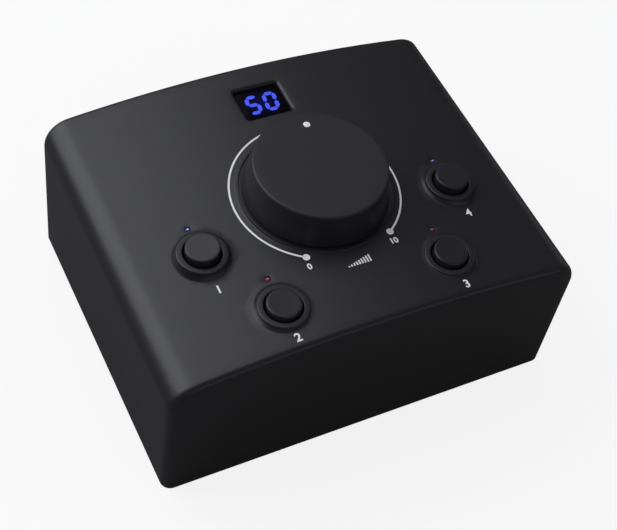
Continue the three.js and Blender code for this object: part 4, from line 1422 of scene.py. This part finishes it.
def mixed(tree, share, first, second, output):
    """Leads a blend of two shaders to an output node of the tree."""
    mix = add_node(tree, "MixShader", {"Fac": share, 1: first, 2: second})
    connect(tree, tree.nodes[output], {"Surface": mix.outputs["Shader"]})


def make_floor():
    material, tree, shader = blank("pale_floor")
    tint = add_node(tree, "Mix", {
        "Factor": add_node(tree, "LightPath").outputs["Is Camera Ray"],
        "A": (*FLOOR_BOUNCE_COLOUR, 1), "B": (*FLOOR_COLOUR, 1),
    }, data_type="RGBA")
    connect(tree, shader, {
        "Base Color": tint.outputs["Result"], "Roughness": FLOOR_ROUGHNESS, "Specular IOR Level": 0.0,
    })
    share = background_share(tree, FLOOR_SEEN_SHARE, FLOOR_MIRRORED_SHARE)
    white = add_node(tree, "Emission", {"Color": WHITE})
    mixed(tree, share, shader.outputs["BSDF"], white.outputs["Emission"], "Material Output")
    mesh = bpy.data.meshes.new("floor")
    mesh.from_pydata([(FLOOR_HALF * x, FLOOR_HALF * y, 0) for x, y in QUARTERS], [], [range(4)])
    mesh.materials.append(material)
    floor = add_object("floor", mesh)


def make_world():
    world = bpy.data.worlds.new("soft_surround")
    bpy.context.scene.world = world
    world.use_nodes = True
    tree = world.node_tree
    soft = tree.nodes["Background"]
    connect(tree, soft, {"Color": WHITE, "Strength": WORLD_STRENGTH})
    strength = background_share(tree, 1.0, WORLD_MIRRORED_SHARE)
    back = add_node(tree, "Background", {"Color": WHITE, "Strength": strength})
    share = background_share(tree, 1.0, 1.0)
    mixed(tree, share, soft.outputs["Background"], back.outputs["Background"], "World Output")


def from_angles(azimuth, elevation):
    a, e = math.radians(azimuth), math.radians(elevation)
    return Vector((math.sin(a) * math.cos(e), -math.cos(a) * math.cos(e), math.sin(e)))


def make_lamps():
    for name, azimuth, elevation, roll, distance, width, height, brightness in LAMPS:
        lamp = bpy.data.lights.new(name, "AREA")
        lamp.shape = "RECTANGLE"
        lamp.size = width
        lamp.size_y = height
        lamp.energy = brightness * math.pi * width * height
        lamp.color = LAMP_COLOUR
        holder = add_object(name, lamp)
        direction = from_angles(azimuth, elevation)
        holder.location = Vector(LAMP_TARGET) + direction * distance
        facing = direction.to_track_quat("Z", "Y").to_matrix()
        holder.rotation_euler = (facing @ Matrix.Rotation(math.radians(roll), 3, "Z")).to_euler()


def make_camera():
    back = from_angles(CAMERA_AZIMUTH, CAMERA_ELEVATION)
    right = Vector((0, 0, 1)).cross(back).normalized()
    up = back.cross(right)
    turned_right = math.cos(CAMERA_ROLL) * right + math.sin(CAMERA_ROLL) * up
    turned_up = math.cos(CAMERA_ROLL) * up - math.sin(CAMERA_ROLL) * right
    lens = bpy.data.cameras.new("photo_camera")
    lens.sensor_fit = "HORIZONTAL"
    lens.sensor_width = SENSOR_WIDTH
    lens.lens = FOCAL_PIXELS / PHOTO_WIDTH * SENSOR_WIDTH
    lens.clip_start = CAMERA_NEAR
    camera = add_object("photo_camera", lens)
    aim = Vector(CAMERA_AIM) + turned_right * CAMERA_SHIFT_RIGHT + turned_up * CAMERA_SHIFT_UP
    axes = Matrix((turned_right, turned_up, back)).transposed()
    camera.matrix_world = Matrix.Translation(aim + back * CAMERA_DISTANCE) @ axes.to_4x4()
    bpy.context.scene.camera = camera


make_camera()
make_cover()
make_knob()
make_pointer()
make_buttons()
make_lights()
make_window()
make_digits()
make_ring()
make_figures()
make_rear_plate()
make_jacks()
make_aux()
make_aux_ring()
make_inlet()
make_rear_figures()
make_base()
make_feet()
make_screws()
finish_nodes()
make_floor()
make_world()
make_lamps()
bpy.context.scene.view_settings.view_transform = "Standard"
bpy.context.view_layer.update()
